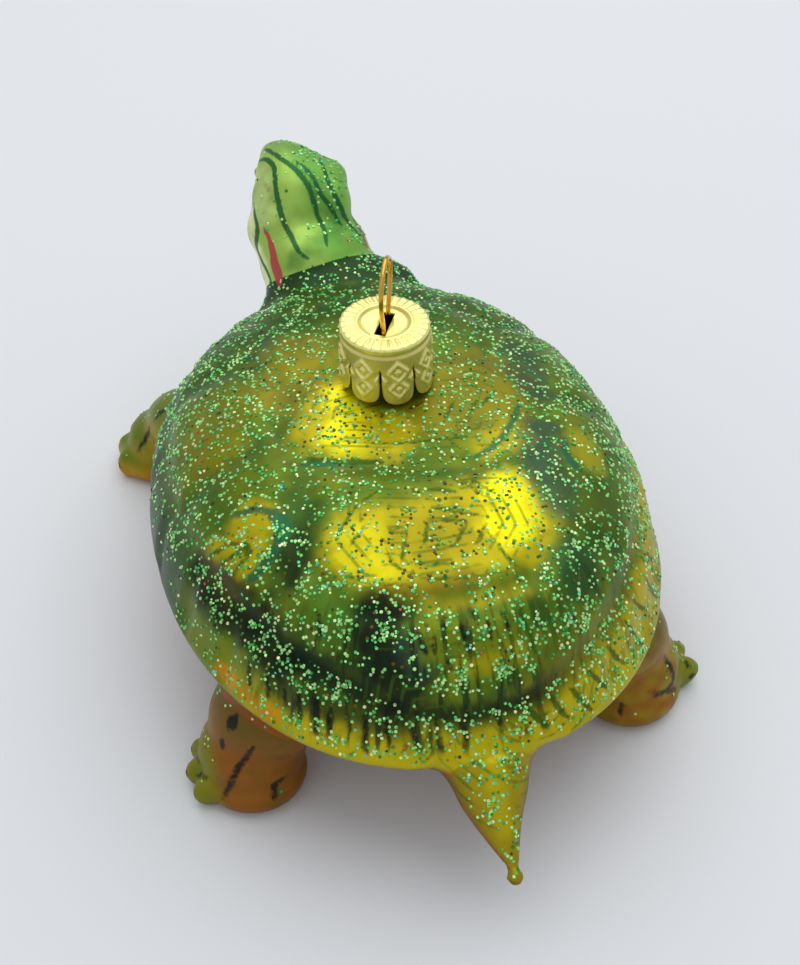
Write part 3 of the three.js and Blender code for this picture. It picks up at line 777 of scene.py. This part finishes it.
# Brush strokes: each is a half-width and a line of places; a place seen from above is set on the dome.
leafStrokes = [
    # the third keel plate
    (0.26, [(9.6, 3.9), (4.9, 6), (-0.1, 7.2), (-6.2, 7.7)]), (0.5, [(14, 5.6), (8.9, 7.9), (4.9, 9.2)]),
    (0.3, [(-10.1, 2.6), (-13.3, -0.4)]), (0.3, [(2.3, -6.9), (4.3, -2.7)]), (0.24, [(1, 1.7), (-3.7, -0.4)]),
    (0.22, [(5.4, 0.4), (9.8, -2.4)]), (0.24, [(-7.4, 4.6), (-10.4, 0.8)]),
    (0.22, [(-4.6, 4.4), (-7.6, 0.2)]),
    # the fourth: a nest of straight dabs round its middle, then short strokes towards its corners
    (0.28, [(2.4, 20.6), (0, 21), (-2.4, 21.6)]), (0.28, [(-2.4, 21.6), (-1.2, 23.2), (0.2, 24.7)]),
    (0.28, [(0.2, 24.7), (2, 24.4), (3.8, 23.9)]), (0.28, [(3.8, 23.9), (3, 22.2), (2.4, 20.6)]),
    (0.26, [(5.2, 21.1), (6.9, 25.1)]), (0.26, [(6.9, 25.1), (3.9, 26.4), (1.4, 26.8)]),
    (0.3, [(1.3, 18.5), (-1.6, 20), (-4.6, 21.4)]), (0.26, [(-4.6, 22.5), (-2.4, 25.1)]),
    (0.24, [(8.5, 22.6), (7.7, 25.6), (5, 27.8), (1.9, 28.7), (-1.3, 28.9)]),
    (0.3, [(-2.5, 14.1), (-3.9, 16.4)]), (0.3, [(-3.5, 15), (-5.5, 18.4)]),
    (0.3, [(-4.7, 15.4), (-6.9, 18.1)]),
    (0.3, [(0.9, 15.5), (-2.4, 17)]), (0.22, [(13.5, 19.2), (10.1, 15.8), (6.7, 14.1)]),
    (0.22, [(12.4, 21.2), (9.1, 18.3)]), (0.24, [(14.1, 24.4), (10.5, 26.8), (6, 28.5)]),
    (0.28, [(-4.1, 22.9), (-5.4, 26.8), (-6.6, 28.5)]),
    # the left flank plate
    (0.4, [(26.1, 12.5), (24, 14.7), (24.7, 15.9)]), (0.34, [(25.4, 13), (28.8, 11.6)]),
    (0.34, [(23.6, 15), (28, 13.9)]), (0.32, [(23.3, 15.7), (26.8, 16.6)]),
    # the right side of the last plate
    (0.42, [(-5.7, 32.7), (-5.9, 34.7), (-6.4, 36.1), (-6.6, 37.7)]), (0.36, [(-7, 32.8), (-7.3, 35.2)]),
]
inkStrokes = [
    (0.34, [(4, 33), (4.2, 34.4)]), (0.42, [(7.4, 33.2), (7.2, 34.6), (6.9, 35.8)]),
    (0.34, [(-1.1, 33.6), (-1.2, 35.1), (-1.3, 36)]), (0.32, [(0.5, 32.3), (-0.1, 33.9)]),
    (0.3, [(5.8, 34.7), (6, 35.9)]), (0.3, [(4.5, 36.6), (4.2, 37.9)]),
    (0.34, [(18, 26.8), (18.2, 28.8), (18.8, 29.5)]),
    (0.3, [(2, 33.4), (2.2, 35.6)]), (0.28, [(-3.2, 33.2), (-3.6, 35.4)]),
]
tealStrokes = [
    (0.6, [(24.6, 9.6), (21.8, 10.6), (19.9, 12.4)]), (1.1, [(20.2, 12), (19.2, 14.8), (20.2, 16.8)]),
    (0.75, [(20.2, 16.8), (22.7, 18.4), (24.9, 18.8)]),
    (0.6, [(-19.7, 9.5), (-18.7, 11.7), (-18.8, 14), (-19.6, 15)]), (0.45, [(14.9, 6), (8, 9)]),
    (0.5, [(-6.4, 11.4), (-9.4, 10.2), (-12.8, 6.9), (-15.7, 2.4)]),
]
# strokes down the rim: angle from the turtle's left in degrees, start and stop up the wall, half-width
rimMarks = [(36, 0.28, 0.14, 0.4), (41, 0.32, 0.14, 0.4), (45, 0.26, 0.15, 0.34), (49, 0.3, 0.12, 0.4),
            (53, 0.32, 0.08, 0.6), (56, 0.24, 0.12, 0.36), (60, 0.27, 0.14, 0.3), (64, 0.28, 0.06, 0.42),
            (68.5, 0.32, 0.1, 0.4), (74, 0.26, 0.12, 0.4), (79, 0.28, 0.1, 0.4), (84, 0.28, 0.14, 0.4),
            (91, 0.3, 0.14, 0.4)]
rimSlants = [(97, 0.26, 0.09, 0.46), (102.5, 0.28, 0.06, 0.42), (108, 0.25, 0.05, 0.46),
             (113.5, 0.28, 0.1, 0.42), (120.5, 0.32, 0.12, 0.4), (128.5, 0.34, 0.06, 0.42),
             (134.5, 0.36, 0.18, 0.36), (142, 0.34, 0.08, 0.4), (149, 0.36, 0.16, 0.36)]


def rimStrokes(marks, slant):
    # strokes that move slant degrees along the rim on their way down
    turns = np.radians([0, slant * 0.3, slant * 0.6, slant])
    return [(half, shellPoint(radians(degrees) + turns, np.linspace(start, stop, 4)))
            for degrees, start, stop, half in marks]


headStrokes = [
    (0.46, [(7.6, -54.8, 45.9), (7, -54, 46.5), (6, -51.9, 47.9), (5.5, -49.2, 47.7), (6, -45.7, 45.3),
           (5.8, -43.4, 42.7), (5, -41.6, 40.8), (4.4, -39.4, 39.5), (3.4, -38.2, 38.9)]),
    (0.44, [(5.6, -55.8, 47.4), (5.3, -54.2, 48), (4.3, -50.9, 48.6), (2.6, -47.4, 48.3), (1.4, -45.2, 46.6),
           (0.7, -43.2, 43.1), (0.1, -41.4, 41.2), (0.4, -39.2, 39.8)]),
    (0.4, [(2.4, -49.2, 48.9), (0.7, -46.7, 47.8), (-0.2, -44.6, 45.5), (-1.4, -43.8, 43.5),
           (-2.6, -42.5, 40.6)]),
    (0.45, [(-1.5, -49.5, 48), (-1.7, -46.3, 46.5), (-2.3, -44.7, 43.9), (-3.8, -43.3, 40.4),
            (-5.2, -42, 38.6)]),
    (0.4, [(-4.2, -47.4, 42.6), (-4.6, -46, 41.2), (-5.4, -44.5, 39.3), (-6.1, -41.3, 37.1)]),
    (0.45, [(9.4, -48.6, 43), (9.4, -45, 41.2), (9.1, -45.3, 37.2), (9, -41.6, 35.6), (8.5, -39.6, 33.6)]),
]
redStrokes = [(0.4, [(8.1, -44.6, 41.2), (8.1, -43.4, 40.2), (7.9, -41.7, 38.6), (7.6, -39.4, 36.2)]),
              (0.7, [(8.1, -43, 39.8), (7.8, -40.8, 37.8), (7.4, -38.8, 35.4)]),
              (0.95, [(7.9, -41.4, 38.2), (7.6, -39.8, 36.4), (7.3, -38.4, 34.6)]),
              (0.5, [(-5.6, -45.6, 40), (-6, -43, 37.8), (-6, -41, 36)])]
legStrokes = [
    (0.45, [(27.2, 27.7, 13.2), (28.1, 26.7, 10.6), (28.9, 25, 6.5), (29.9, 26.1, 5.7), (31.7, 27.2, 3.3)]),
    (0.9, [(28.6, 24.9, 16.3), (29.9, 25.1, 14.6)]), (0.5, [(30.6, 24.6, 12.6), (31.2, 25, 10.8)]),
    (0.5, [(24.2, 26.5, 5.8), (25.2, 27.5, 5.5), (25.2, 28.4, 4.6), (25.5, 29.3, 3.5)]),
    (0.35, [(34, 20.7, 4.7), (32.2, 22.1, 5.4)]), (0.35, [(34.5, 22.7, 3.4), (32.5, 24.7, 5.1)]),
    (0.5, [(-29.6, 26, 11.3), (-29.5, 24.7, 6.4), (-27.9, 27.1, 5.8)]),
    (0.4, [(-23.7, 27.3, 5.3), (-23.2, 28.4, 3.4)]),
    (0.4, [(-34.6, 22.7, 5), (-35.4, 23.6, 4.1)]), (0.4, [(-26.9, 25.6, 6.6), (-31.9, 26.6, 4)]),
]
nails = [(34.9, 17.6, 3.4), (36.2, 21, 3.4), (35.8, 24.4, 3.2), (34.6, -41.6, 3), (34, -46.6, 3),
         (31, -50.4, 3)]
legStrokes += [(half, [(side * a, b, c) for a, b, c in path]) for side in (-1, 1) for half, path in (
    (0.45, [(27.4, -38.4, 12), (28.4, -40, 9), (30, -41, 6)]), (0.45, [(25, -36, 15.4), (27, -37.4, 13.4)]))]
legStrokes += [(0.7, [(side * a, b, c - 0.2), (side * (a + 0.2), b, c - 0.9)])
               for side in (-1, 1) for a, b, c in nails]


def strokeField(strokes):
    # how far each point lies outside the nearest stroke, below zero inside one; strokes thin to their ends
    field = np.full(len(skinPoints), 2.0)
    for half, places in strokes:
        marks = lifted(places)
        length = np.linalg.norm(np.diff(marks, axis=0), axis=1).sum()
        along = np.linspace(0, 1, max(4, int(length / 0.35)))
        marks = np.array([skinTree.find_nearest(Vector(m))[0] for m in curveThrough(marks, along)])
        near = around(marks, 3)
        gap, which = nearest(skinPoints[near], marks)
        taper = half * (0.45 + 0.55 * np.sin(pi * along[which]) ** 0.5)
        field[near] = np.minimum(field[near], gap - taper)
    return field


# films of brush paint, first to last: colour, cover, how soft the edge is and how much the bristles break it
films = dict(tealStrokes=("166040", 0.85, 0.3, 0.7), leafStrokes=("24520f", 0.85, 0.2, 0.6),
             inkStrokes=("08130b", 0.92, 0.28, 0.8), redStrokes=("b8404a", 0.92, 0.15, 0.25),
             headStrokes=("155a30", 0.92, 0.12, 0.25))


def lacqueredGlass():
    # Candy lacquer sprayed over silvered, mould-blown glass: bright soft reflections through clear colour,
    # brushed strokes with soft edges, and glitter sunk in the last coat that shows as small dark spots
    finish, add = newFinish("candy_lacquer_on_silvered_glass")
    place = add("TexCoord", out="Object")
    bristle = add("TexNoise", {"Vector": place, "Scale": 1400.0, "Detail": 3.0})  # 0.7 mm
    cloud = add("TexNoise", {"Vector": place, "Scale": 260.0, "Detail": 4.0})  # 4 mm
    kinds = dict(shellPaint="Color", bodyPaint="Color", flow="Vector")
    names = (*films, *kinds, "offShell", "glitterCover", "silver", "streakCover", "ringCover", "plateGap")
    read = {name: add("Attribute", out=kinds.get(name, "Fac"), attribute_name=name) for name in names}
    outside = add("MapRange", {0: read["offShell"], 1: -0.08, 2: 0.08}, **eased)
    colour = add("Mix", {0: outside, 6: read["shellPaint"], 7: read["bodyPaint"]}, **mixed)
    # thin clouds of darker lacquer
    thin = add("MapRange", {0: cloud, 1: 0.4, 2: 0.75, 3: 0.0, 4: 0.25}, **eased)
    colour = add("Mix", {0: thin, 6: colour, 7: rgba("3f5410")}, **mixed)
    # streaks pulled down the wall with a dry brush: 1.4 mm across and 9 mm long
    streak = add("TexNoise", {"Vector": read["flow"], "Scale": 1.0, "Detail": 3.0})
    streak = add("MapRange", {0: streak, 1: 0.48, 2: 0.64, 3: 0.0, 4: 0.85}, **eased)
    streak = add("Math", {0: streak, 1: read["streakCover"]}, **times)
    colour = add("Mix", {0: streak, 6: colour, 7: rgba("0f2a12")}, **mixed)
    # growth rings every 1.5 mm in from a plate's seam, broken where the brush ran dry
    ring = add("Math", {0: read["plateGap"], 1: 0.75}, operation="PINGPONG")
    ring = add("MapRange", {0: ring, 1: 0.1, 2: 0.3, 3: 0.55, 4: 0.0}, **eased)
    dry = add("MapRange", {0: cloud, 1: 0.44, 2: 0.58}, **eased)
    ring = add("Math", {0: ring, 1: dry}, **times)
    ring = add("Math", {0: ring, 1: read["ringCover"]}, **times)
    colour = add("Mix", {0: ring, 6: colour, 7: rgba("40600f")}, **mixed)
    film = streak
    for name, (shade, cover, soft, breakUp) in films.items():
        wobble = add("MapRange", {0: bristle, 3: -0.5 * breakUp, 4: 0.5 * breakUp})
        edge = add("Math", {0: read[name], 1: wobble}, operation="ADD")
        mask = add("MapRange", {0: edge, 1: -soft, 2: soft, 3: cover, 4: 0.0}, **eased)
        colour = add("Mix", {0: mask, 6: colour, 7: rgba(shade)}, **mixed)
        film = add("Math", {0: film, 1: mask}, operation="MAXIMUM")
    # sunk glitter: a spot about 0.4 mm across the middle in some of the 1.2 mm cells
    cells = add("TexVoronoi", {"Vector": place, "Scale": 830.0})
    chosen = add("SeparateColor", {0: cells.node.outputs["Color"]})
    chosen = add("MapRange", {0: chosen, 1: 0.5, 2: 0.52, 4: 0.7})
    spot = add("MapRange", {0: cells, 1: 0.12, 2: 0.26, 3: 1.0, 4: 0.0}, **eased)
    spot = add("Math", {0: spot, 1: chosen}, **times)
    spot = add("Math", {0: spot, 1: read["glitterCover"]}, **times)
    colour = add("Mix", {0: spot, 6: colour, 7: rgba("66600c")}, **mixed)
    rough = add("MapRange", {0: cloud, 1: 0.3, 2: 0.7, 3: 0.36, 4: 0.46}, **eased)
    height = add("Math", {0: cloud, 1: film}, operation="ADD")
    bump = add("Bump", {"Height": height, "Strength": 0.3, "Distance": 0.00015})
    endFinish(add, {"Base Color": colour, "Roughness": rough, "Normal": bump, "Metallic": read["silver"],
                     "Specular IOR Level": 0.14, "Coat Weight": 0.06, "Coat Roughness": 0.25})
    return finish


skin = addMesh("glass_skin", skinPoints, quads, lacqueredGlass())
addColours(skin.data, "shellPaint", shellPaint)
addColours(skin.data, "bodyPaint", bodyPaint)
strokeGroups = dict(leafStrokes=leafStrokes + rimStrokes(rimSlants, 4), tealStrokes=tealStrokes,
                    inkStrokes=inkStrokes + rimStrokes(rimMarks, 1) + legStrokes, redStrokes=redStrokes,
                    headStrokes=headStrokes)
skinFields = {name: strokeField(strokes) for name, strokes in strokeGroups.items()}
onWall = ramp(0.04, 0.12, rise) * ramp(0.84, 0.7, rise)
skinFields.update(
    offShell=offShell, plateGap=plateGap, glitterCover=ramp(0.05, 0.35, upward) * ramp(0.3, -0.1, offShell),
    silver=0.58 - 0.38 * isLeg * ramp(-0.2, 0.4, offShell),
    streakCover=onWall * ramp(22, 32, y) * (1 - 0.55 * ramp(-2, -12, x)),
    ringCover=ramp(1.6, 2.2, plateGap) * ramp(-16, -4, y) * ramp(16, 12, np.abs(x)))
for name, values in skinFields.items():
    addFloats(skin.data, name, values)
# the streaks' map round and down a wall 38 mm in radius and 30 mm tall: 1 is a streak's width or length
flow = np.column_stack([lon * 38 / 1.4, rise * 30 / 9, np.zeros(len(lon))])
flowLayer = skin.data.attributes.new("flow", "FLOAT_VECTOR", "POINT")
flowLayer.data.foreach_set("vector", flow.astype(np.float32).ravel())
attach(skin, "root")
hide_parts("carapace", "plastron", "neck", "head", "leg_front_left", "leg_front_right",
            "leg_rear_left", "leg_rear_right", "tail")
print("skin painted:", 2 * len(quads), "triangles")

glitter = dict(count=9600, radius=(0.17, 0.28), height=0.11, sunk=0.04, taper=0.78, tilt=0.2, seed=7,
               shadedShare=0.4, shadedFlakeShade="58560c", capClear=6.4, mapSpan=130.0, patch=0.003)
glitterColours = [("8fe07c", 0.34), ("bdee98", 0.2), ("e2edae", 0.1), ("4cb04e", 0.19), ("2c8a3c", 0.08),
                  ("57c98e", 0.06), ("6fd0cc", 0.01), ("c4553f", 0.005), ("34410f", 0.015)]


def patch(p, centre, spread):
    # 1 over centre seen from above, falling off as a bell whose width squared is spread
    return np.exp(-((p[:, :2] - centre) ** 2 / spread).sum(1))


def scatterFlakes():
    # Places on the skin's upper sides, more of them where density is high, with the way up and how much
    # painted highlight lies below
    rng = np.random.default_rng(glitter["seed"])
    a, b, c, d = (skinPoints[quads[:, k]] for k in range(4))
    area = np.linalg.norm(np.cross(c - a, d - b), axis=1) / 2
    middle = (a + b + c + d) / 4
    facing = normals[quads].mean(1)[:, 2]
    shellTop = ramp(0.15, 0.5, facing) * ramp(0.3, -0.2, offShell[quads].mean(1))
    sprinkle = 0.5 + 0.5 * ramp(8, 26, middle[:, 1])  # evener in front
    cluster = np.exp(sprinkle * (1.1 * ripple(middle, 5.5, 21) + 0.9 * ripple(middle, 2.4, 22)))
    density = shellTop * cluster * (1 - 0.55 * patch(middle, (2, 20), (90, 60)))
    mx, my, mz = middle.T
    onHead = (my < -40) & (mz > 36) & (offShell[quads[:, 0]] > 0.4)
    density += 0.8 * onHead * ramp(0.3, 0.8, facing) * ramp(4, 0, mx) * cluster
    density += 0.12 * onHead * ramp(0.1, 0.6, facing)
    onTail = (my > 41) & (np.abs(mx) < 8) & (offShell[quads[:, 0]] > 0.2)
    density += 1.3 * onTail * ramp(0.2, 0.7, facing) * cluster
    onLeg = (np.abs(mx) > 20) & (offShell[quads[:, 0]] > 0.4)
    density += 0.3 * onLeg * ramp(0.3, 0.8, facing) * cluster
    density *= np.hypot(mx - capPlace[0], my - capPlace[1]) > glitter["capClear"]
    chosen = rng.choice(len(quads), glitter["count"], p=area * density / (area * density).sum())
    u, v = rng.uniform(size=(2, glitter["count"], 1))
    at = a[chosen] * (1 - u) * (1 - v) + b[chosen] * u * (1 - v) + c[chosen] * u * v + d[chosen] * (1 - u) * v
    up = unit(normals[quads[chosen]].mean(1) + rng.normal(0, glitter["tilt"], (glitter["count"], 3)))
    return rng, at, up, patch(at, (1, 21), (110, 60)) + patch(at, (7, 0), (30, 30))


def addGlitter():
    # Each flake is a low six-sided frustum, sunk a little in the lacquer
    rng, at, up, highlightUnder = scatterFlakes()
    count = len(at)
    side = unit(np.cross(up, unit(rng.normal(size=(count, 3)))))
    other = np.cross(up, side)
    radius = rng.uniform(*glitter["radius"], (count, 1, 1))
    angle = np.arange(6) * pi / 3
    ring = side[:, None] * np.cos(angle)[:, None] + other[:, None] * np.sin(angle)[:, None]
    bottom = at[:, None] + ring * radius - up[:, None] * glitter["sunk"]
    top = at[:, None] + ring * radius * glitter["taper"] + up[:, None] * glitter["height"]
    points = np.concatenate([bottom, top], 1).reshape(-1, 3)
    k = np.arange(6)
    walls = np.stack([k, (k + 1) % 6, 6 + (k + 1) % 6, 6 + k], -1)
    start = (np.arange(count) * 12)[:, None, None]
    faces = (walls[None] + start).reshape(-1, 4).tolist()
    faces += (np.arange(6, 12)[None] + start[:, 0]).tolist()
    faces += (np.arange(5, -1, -1)[None] + start[:, 0]).tolist()
    flakes = addMesh("glitter", points, faces, glitterFoil(), smooth=False)
    shares = np.array([share for _, share in glitterColours])
    pick = rng.choice(len(shares), count, p=shares / shares.sum())
    shades = np.array([toLinear(shade) for shade, _ in glitterColours])[pick]
    shades *= rng.uniform(0.7, 1.1, (count, 1))
    # in the shell's highlight patches part of the flakes turn dark olive: painted shade of flakes reflecting
    # dark surroundings
    shades[rng.uniform(size=count) < glitter["shadedShare"] * highlightUnder] = toLinear(glitter["shadedFlakeShade"])
    addColours(flakes.data, "foil", np.repeat(np.clip(shades, 0, 1), 12, 0))
    # bake map: each flake is a small patch at its place on the shell seen from above
    middle = 0.5 + at[:, None, :2] / glitter["mapSpan"]
    ringUv = np.stack([np.cos(angle), np.sin(angle)], -1) * glitter["patch"]
    uv = np.concatenate([middle + ringUv / 2, middle + ringUv / 3], 1).reshape(-1, 2)
    layer = flakes.data.uv_layers.new(name="OFBake")
    corners = np.empty(len(flakes.data.loops), np.int32)
    flakes.data.loops.foreach_get("vertex_index", corners)
    layer.data.foreach_set("uv", uv[corners].astype(np.float32).ravel())
    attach(flakes, "root")
    print("glitter:", count, "flakes")


def glitterFoil():
    # Cut polyester foil with a metal layer: small mirrors in mint, lemon and teal
    finish, add = newFinish("polyester_glitter_foil")
    colour = add("Attribute", out="Color", attribute_name="foil")
    endFinish(add, {"Base Color": colour, "Metallic": 0.45, "Roughness": 0.35})
    return finish


addGlitter()


def addEye(name, centre, side):
    # a glazed ball with a black pupil in a green-gold ring, drawn by the angle from its axis
    axis = unit(np.array([side * 0.93, -0.33, 0.16]))
    points, faces = blobShell(centre, [eye["radius"]] * 3, columns=64, rows=48)
    fromAxis = np.degrees(np.arccos(np.clip(unit(points - centre) @ axis, -1, 1)))
    points = points + axis * (eye["swell"] * ramp(34, 0, fromAxis))[:, None]
    ball = addMesh("enamel_" + name, points, outward(points, faces), eyeEnamel())
    iris = np.tile(toLinear(eye["rest"]), (len(points), 1))
    for shade, outer, inner in ((eye["ring"], 46, 41), (eye["pupil"], 24, 19)):
        cover = ramp(outer, inner, fromAxis)[:, None]
        iris = iris * (1 - cover) + toLinear(shade) * cover
    addColours(ball.data, "iris", iris)
    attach(ball, "root")
    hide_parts(name)


def eyeEnamel():
    # Brushed enamel under clear gloss: a dark eye with a sharp window of light in it
    finish, add = newFinish("gloss_enamel_eye")
    colour = add("Attribute", out="Color", attribute_name="iris")
    endFinish(add, {"Base Color": colour, "Roughness": 0.2, "Coat Weight": 1.0, "Coat Roughness": 0.03})
    return finish


for name, centre, side in zip(("eye_right", "eye_left"), eye["middles"], (-1, 1)):
    addEye(name, np.array(centre), side)
print("eyes")

cap = dict(radius=6.0, wall=0.4, top=50.6, skirt=41.5, petals=8, columns=22, slitTop=46.9, slitHalf=0.09,
           lobe=1.3, dish=3.5, dishDepth=0.45, ribs=30, ribHeight=0.2, slotHalf=(2.5, 0.76), slotTurn=31.0,
           relief=0.27, diamonds=[(46.6, 1.55), (44.0, 1.45)],  # height and half width of each
           sideDiamond=(45.3, 0.8, 2.3), lean=(0.34, -0.1), flare=0.22)


def diamondRelief(across, up, middle, half):
    # a stamped lozenge: a raised frame round a raised core, by the distance |across| + |up|
    far = np.abs(across) + np.abs(up - middle) * 0.86
    frame = ramp(half - 0.62, half - 0.42, far) * ramp(half + 0.1, half - 0.08, far)
    core = ramp(half * 0.42, half * 0.42 - 0.2, far)
    return np.maximum(frame, 0.85 * core)


def addCap():
    # Rows run from the slot over the dish, ribbed top and edge and down the skirt. Eight petals part below
    # slitTop: their columns draw in from the slits and their hem is round.
    petals, columns, radius, top = cap["petals"], cap["columns"], cap["radius"], cap["top"]
    share = np.linspace(-1, 1, columns + 1)
    petal = np.arange(petals)[:, None] * 2 * pi / petals
    theta = (petal + share * pi / petals).ravel()
    share = np.tile(share, petals)
    slotAngle = pi / 2 - radians(cap["slotTurn"])
    c, s = np.cos(theta - slotAngle), np.sin(theta - slotAngle)
    long, short = cap["slotHalf"]
    slotEdge = 1 / np.maximum(np.abs(c) / long, np.abs(s) / short)
    rib = 0.5 + 0.5 * np.cos(theta * cap["ribs"])
    dish, depth = cap["dish"], cap["dishDepth"]
    rows = [(slotEdge, np.full_like(theta, top - depth - 0.5)), (slotEdge, np.full_like(theta, top - depth))]
    for t in (0.25, 0.5, 0.75):
        rows.append((slotEdge + (dish - 0.5 - slotEdge) * t, np.full_like(theta, top - depth)))
    ridge = [(dish - 0.45, -depth), (dish - 0.25, -depth * 0.55), (dish - 0.12, -0.02), (dish + 0.08, 0.1),
             (dish + 0.3, 0.06), (dish + 0.45, -0.06)]
    rows += [(np.full_like(theta, r), np.full_like(theta, top + h)) for r, h in ridge]
    sharp = rib**3
    raised = {}
    for t in np.linspace(0, 1, 7):
        r = dish + 0.55 + (radius - 0.5 - dish - 0.55) * t
        rows.append((np.full_like(theta, r), top - 0.06 - 0.1 * t + cap["ribHeight"] * sharp))
    for drop, outwards in ((0.05, -0.22), (0.16, -0.06), (0.4, -0.02), (0.75, 0.0)):  # the ribbed edge
        edge = radius + outwards - 0.1 + 0.12 * sharp * (drop < 0.6)
        rows.append((edge, top - 0.16 - drop + 0.1 * sharp * (drop < 0.1)))
    low = cap["skirt"] + cap["lobe"] * (1 - np.sqrt(np.clip(1 - share**2, 0, 1))) * 1.15
    begin = top - 1.0
    for t in np.linspace(0, 1, 46):
        z = begin + (low - begin) * t
        apart = ramp(cap["slitTop"] + 0.3, cap["slitTop"] - 0.5, z)
        arc = share * pi / petals * radius
        relief = sum(diamondRelief(arc, z, middle, half) for middle, half in cap["diamonds"])
        middle, half, aside = cap["sideDiamond"]
        relief = relief + 0.8 * diamondRelief(np.abs(arc) - aside, z, middle, half) * (np.abs(share) < 0.93)
        bulge = cap["flare"] * ramp(47, 42, z) - 0.2 * apart * share**8
        shoulder = 0.12 * ramp(49.3, 48.7, z)
        rows.append((radius - 0.14 + shoulder + cap["relief"] * np.clip(relief, 0, 1) + bulge, z))
        raised[len(rows) - 1] = 0.45 + 0.55 * np.clip(relief, 0, 1)
    r = np.stack([a for a, _ in rows])
    z = np.stack([b for _, b in rows])
    apart = ramp(cap["slitTop"] + 0.3, cap["slitTop"] - 0.3, z) * (r > radius - 0.7)
    slit = cap["slitHalf"] + 0.22 * ramp(cap["skirt"] + 3.4, cap["skirt"], z)
    squeeze = 1 - apart * slit / (pi / petals * radius)
    turned = np.repeat(petal, columns + 1, 1).ravel() + share * pi / petals * squeeze
    leaning = (z - cap["skirt"]) / (top - cap["skirt"]) - 0.5
    points = np.stack([r * np.cos(turned) + capPlace[0] + cap["lean"][0] * leaning,
                       r * np.sin(turned) + capPlace[1] + cap["lean"][1] * leaning, z], -1)
    inPetal = np.arange(z.shape[1]) % (columns + 1) < columns  # no quads from one petal to the next
    faces = gridQuads(*z.shape)[:, inPetal][..., [0, 3, 2, 1]].reshape(-1, 4)  # turned round to face outwards
    piece = addMesh("stamped_cap", points.reshape(-1, 3), faces, stampedBrass())
    # how raised each skirt row is, kept for the painted shade on the flat skirt
    lit = np.ones_like(z)
    for row, height in raised.items():
        lit[row] = height
    addFloats(piece.data, "raised", lit.ravel())
    # the petals' top rows share their edges: merge them, then give the sheet its wall
    addWeld(piece, 0.02)
    wall = piece.modifiers.new("wall", "SOLIDIFY")
    wall.thickness = cap["wall"] / 1000
    wall.offset = -1
    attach(piece, "root")
    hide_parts("cap")


def stampedBrass():
    # Thin brass sheet, stamped and gold-lacquered: pale gold and soft reflections, with painted shade on the
    # skirt where it is not raised
    finish, add = newFinish("stamped_gold_lacquered_brass")
    place = add("TexCoord", out="Object")
    cloud = add("TexNoise", {"Vector": place, "Scale": 500.0, "Detail": 4.0})
    tint = add("Mix", {0: cloud, 6: rgba("fff8a0"), 7: rgba("f2e688")}, **mixed)
    raised = add("Attribute", out="Fac", attribute_name="raised")
    # painted shade: the skirt darkens towards c9b464 where it is not raised
    tint = add("Mix", {0: raised, 6: rgba("c9b464"), 7: tint}, **mixed)
    rough = add("MapRange", {0: cloud, 3: 0.26, 4: 0.42})
    grain = add("Bump", {"Height": cloud, "Strength": 0.2, "Distance": 0.0001})
    endFinish(add, {"Base Color": tint, "Roughness": rough, "Normal": grain, "Metallic": 0.88})
    return finish


addCap()
print("cap")

wire = dict(radius=0.32, turn=25.0, loopHalf=3.35, top=60.0, gauge=2.0, splay=2.9, end=41.0, steps=240,
            sides=16)


def addWire():
    # a round section carried along the spring-wire's line: two splayed prongs in the stem and a loop above
    turn, capTop = radians(wire["turn"]), cap["top"]
    splay, gauge, loopHalf, steps, sides = (wire[k] for k in ("splay", "gauge", "loopHalf", "steps", "sides"))
    half = [(-splay, wire["end"]), (-splay + 0.2, wire["end"] + 3.2), (-gauge, capTop - 1.2),
            (-gauge, capTop + 0.6), (-loopHalf, capTop + 4.6), (-loopHalf * 0.87, wire["top"] - 1.7)]
    line = np.array(half + [(0, wire["top"])] + [(-a, b) for a, b in reversed(half)])
    flat = curveThrough(line, np.linspace(0, 1, steps))
    path = np.column_stack([flat[:, 0] * sin(turn), flat[:, 0] * cos(turn), flat[:, 1]]) + (*capPlace, 0)
    along = unit(np.gradient(path, axis=0))
    beside = np.array([cos(turn), -sin(turn), 0.0])
    over = np.cross(along, beside)
    angle = (np.arange(sides) * 2 * pi / sides)[:, None]
    blunt = np.array([0.0, 0.7] + [1.0] * (steps - 4) + [0.7, 0.0])
    radius = wire["radius"] * blunt[:, None, None]
    ring = beside * np.cos(angle) + over[:, None] * np.sin(angle)
    points = (path[:, None] + ring * radius).reshape(-1, 3)
    faces = gridQuads(steps, sides).reshape(-1, 4).tolist()
    piece = addMesh("spring_wire", points, outward(points, faces), goldWire())
    addWeld(piece, 0.005)
    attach(piece, "root")
    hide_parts("hanger_wire")


def goldWire():
    # Drawn spring wire with a thin gold plate that has browned: fine lines along it, warm and shiny
    finish, add = newFinish("gold_plated_spring_wire")
    place = add("TexCoord", out="Object")
    stretch = add("Mapping", {"Vector": place, "Scale": (3000, 3000, 300)})
    lines = add("TexNoise", {"Vector": stretch, "Scale": 1.0, "Detail": 2.0})
    tint = add("Mix", {0: lines, 6: rgba("c58f2a"), 7: rgba("e0b552")}, **mixed)
    endFinish(add, {"Base Color": tint, "Metallic": 1.0, "Roughness": 0.22})
    return finish


addWire()


def stemGlass():
    # The cut end of the blown stem: clear glass with a grey-green tinge and a ground lip
    finish, add = newFinish("bare_blown_glass")
    place = add("TexCoord", out="Object")
    cloud = add("TexNoise", {"Vector": place, "Scale": 900.0, "Detail": 2.0})
    rough = add("MapRange", {0: cloud, 3: 0.05, 4: 0.2})
    endFinish(add, {"Base Color": rgba("2d3a2c"), "Roughness": rough})
    return finish


stem = frame["nodes"]["glass_stem"]
stem.data.materials.clear()
stem.data.materials.append(stemGlass())
print("wire and stem")
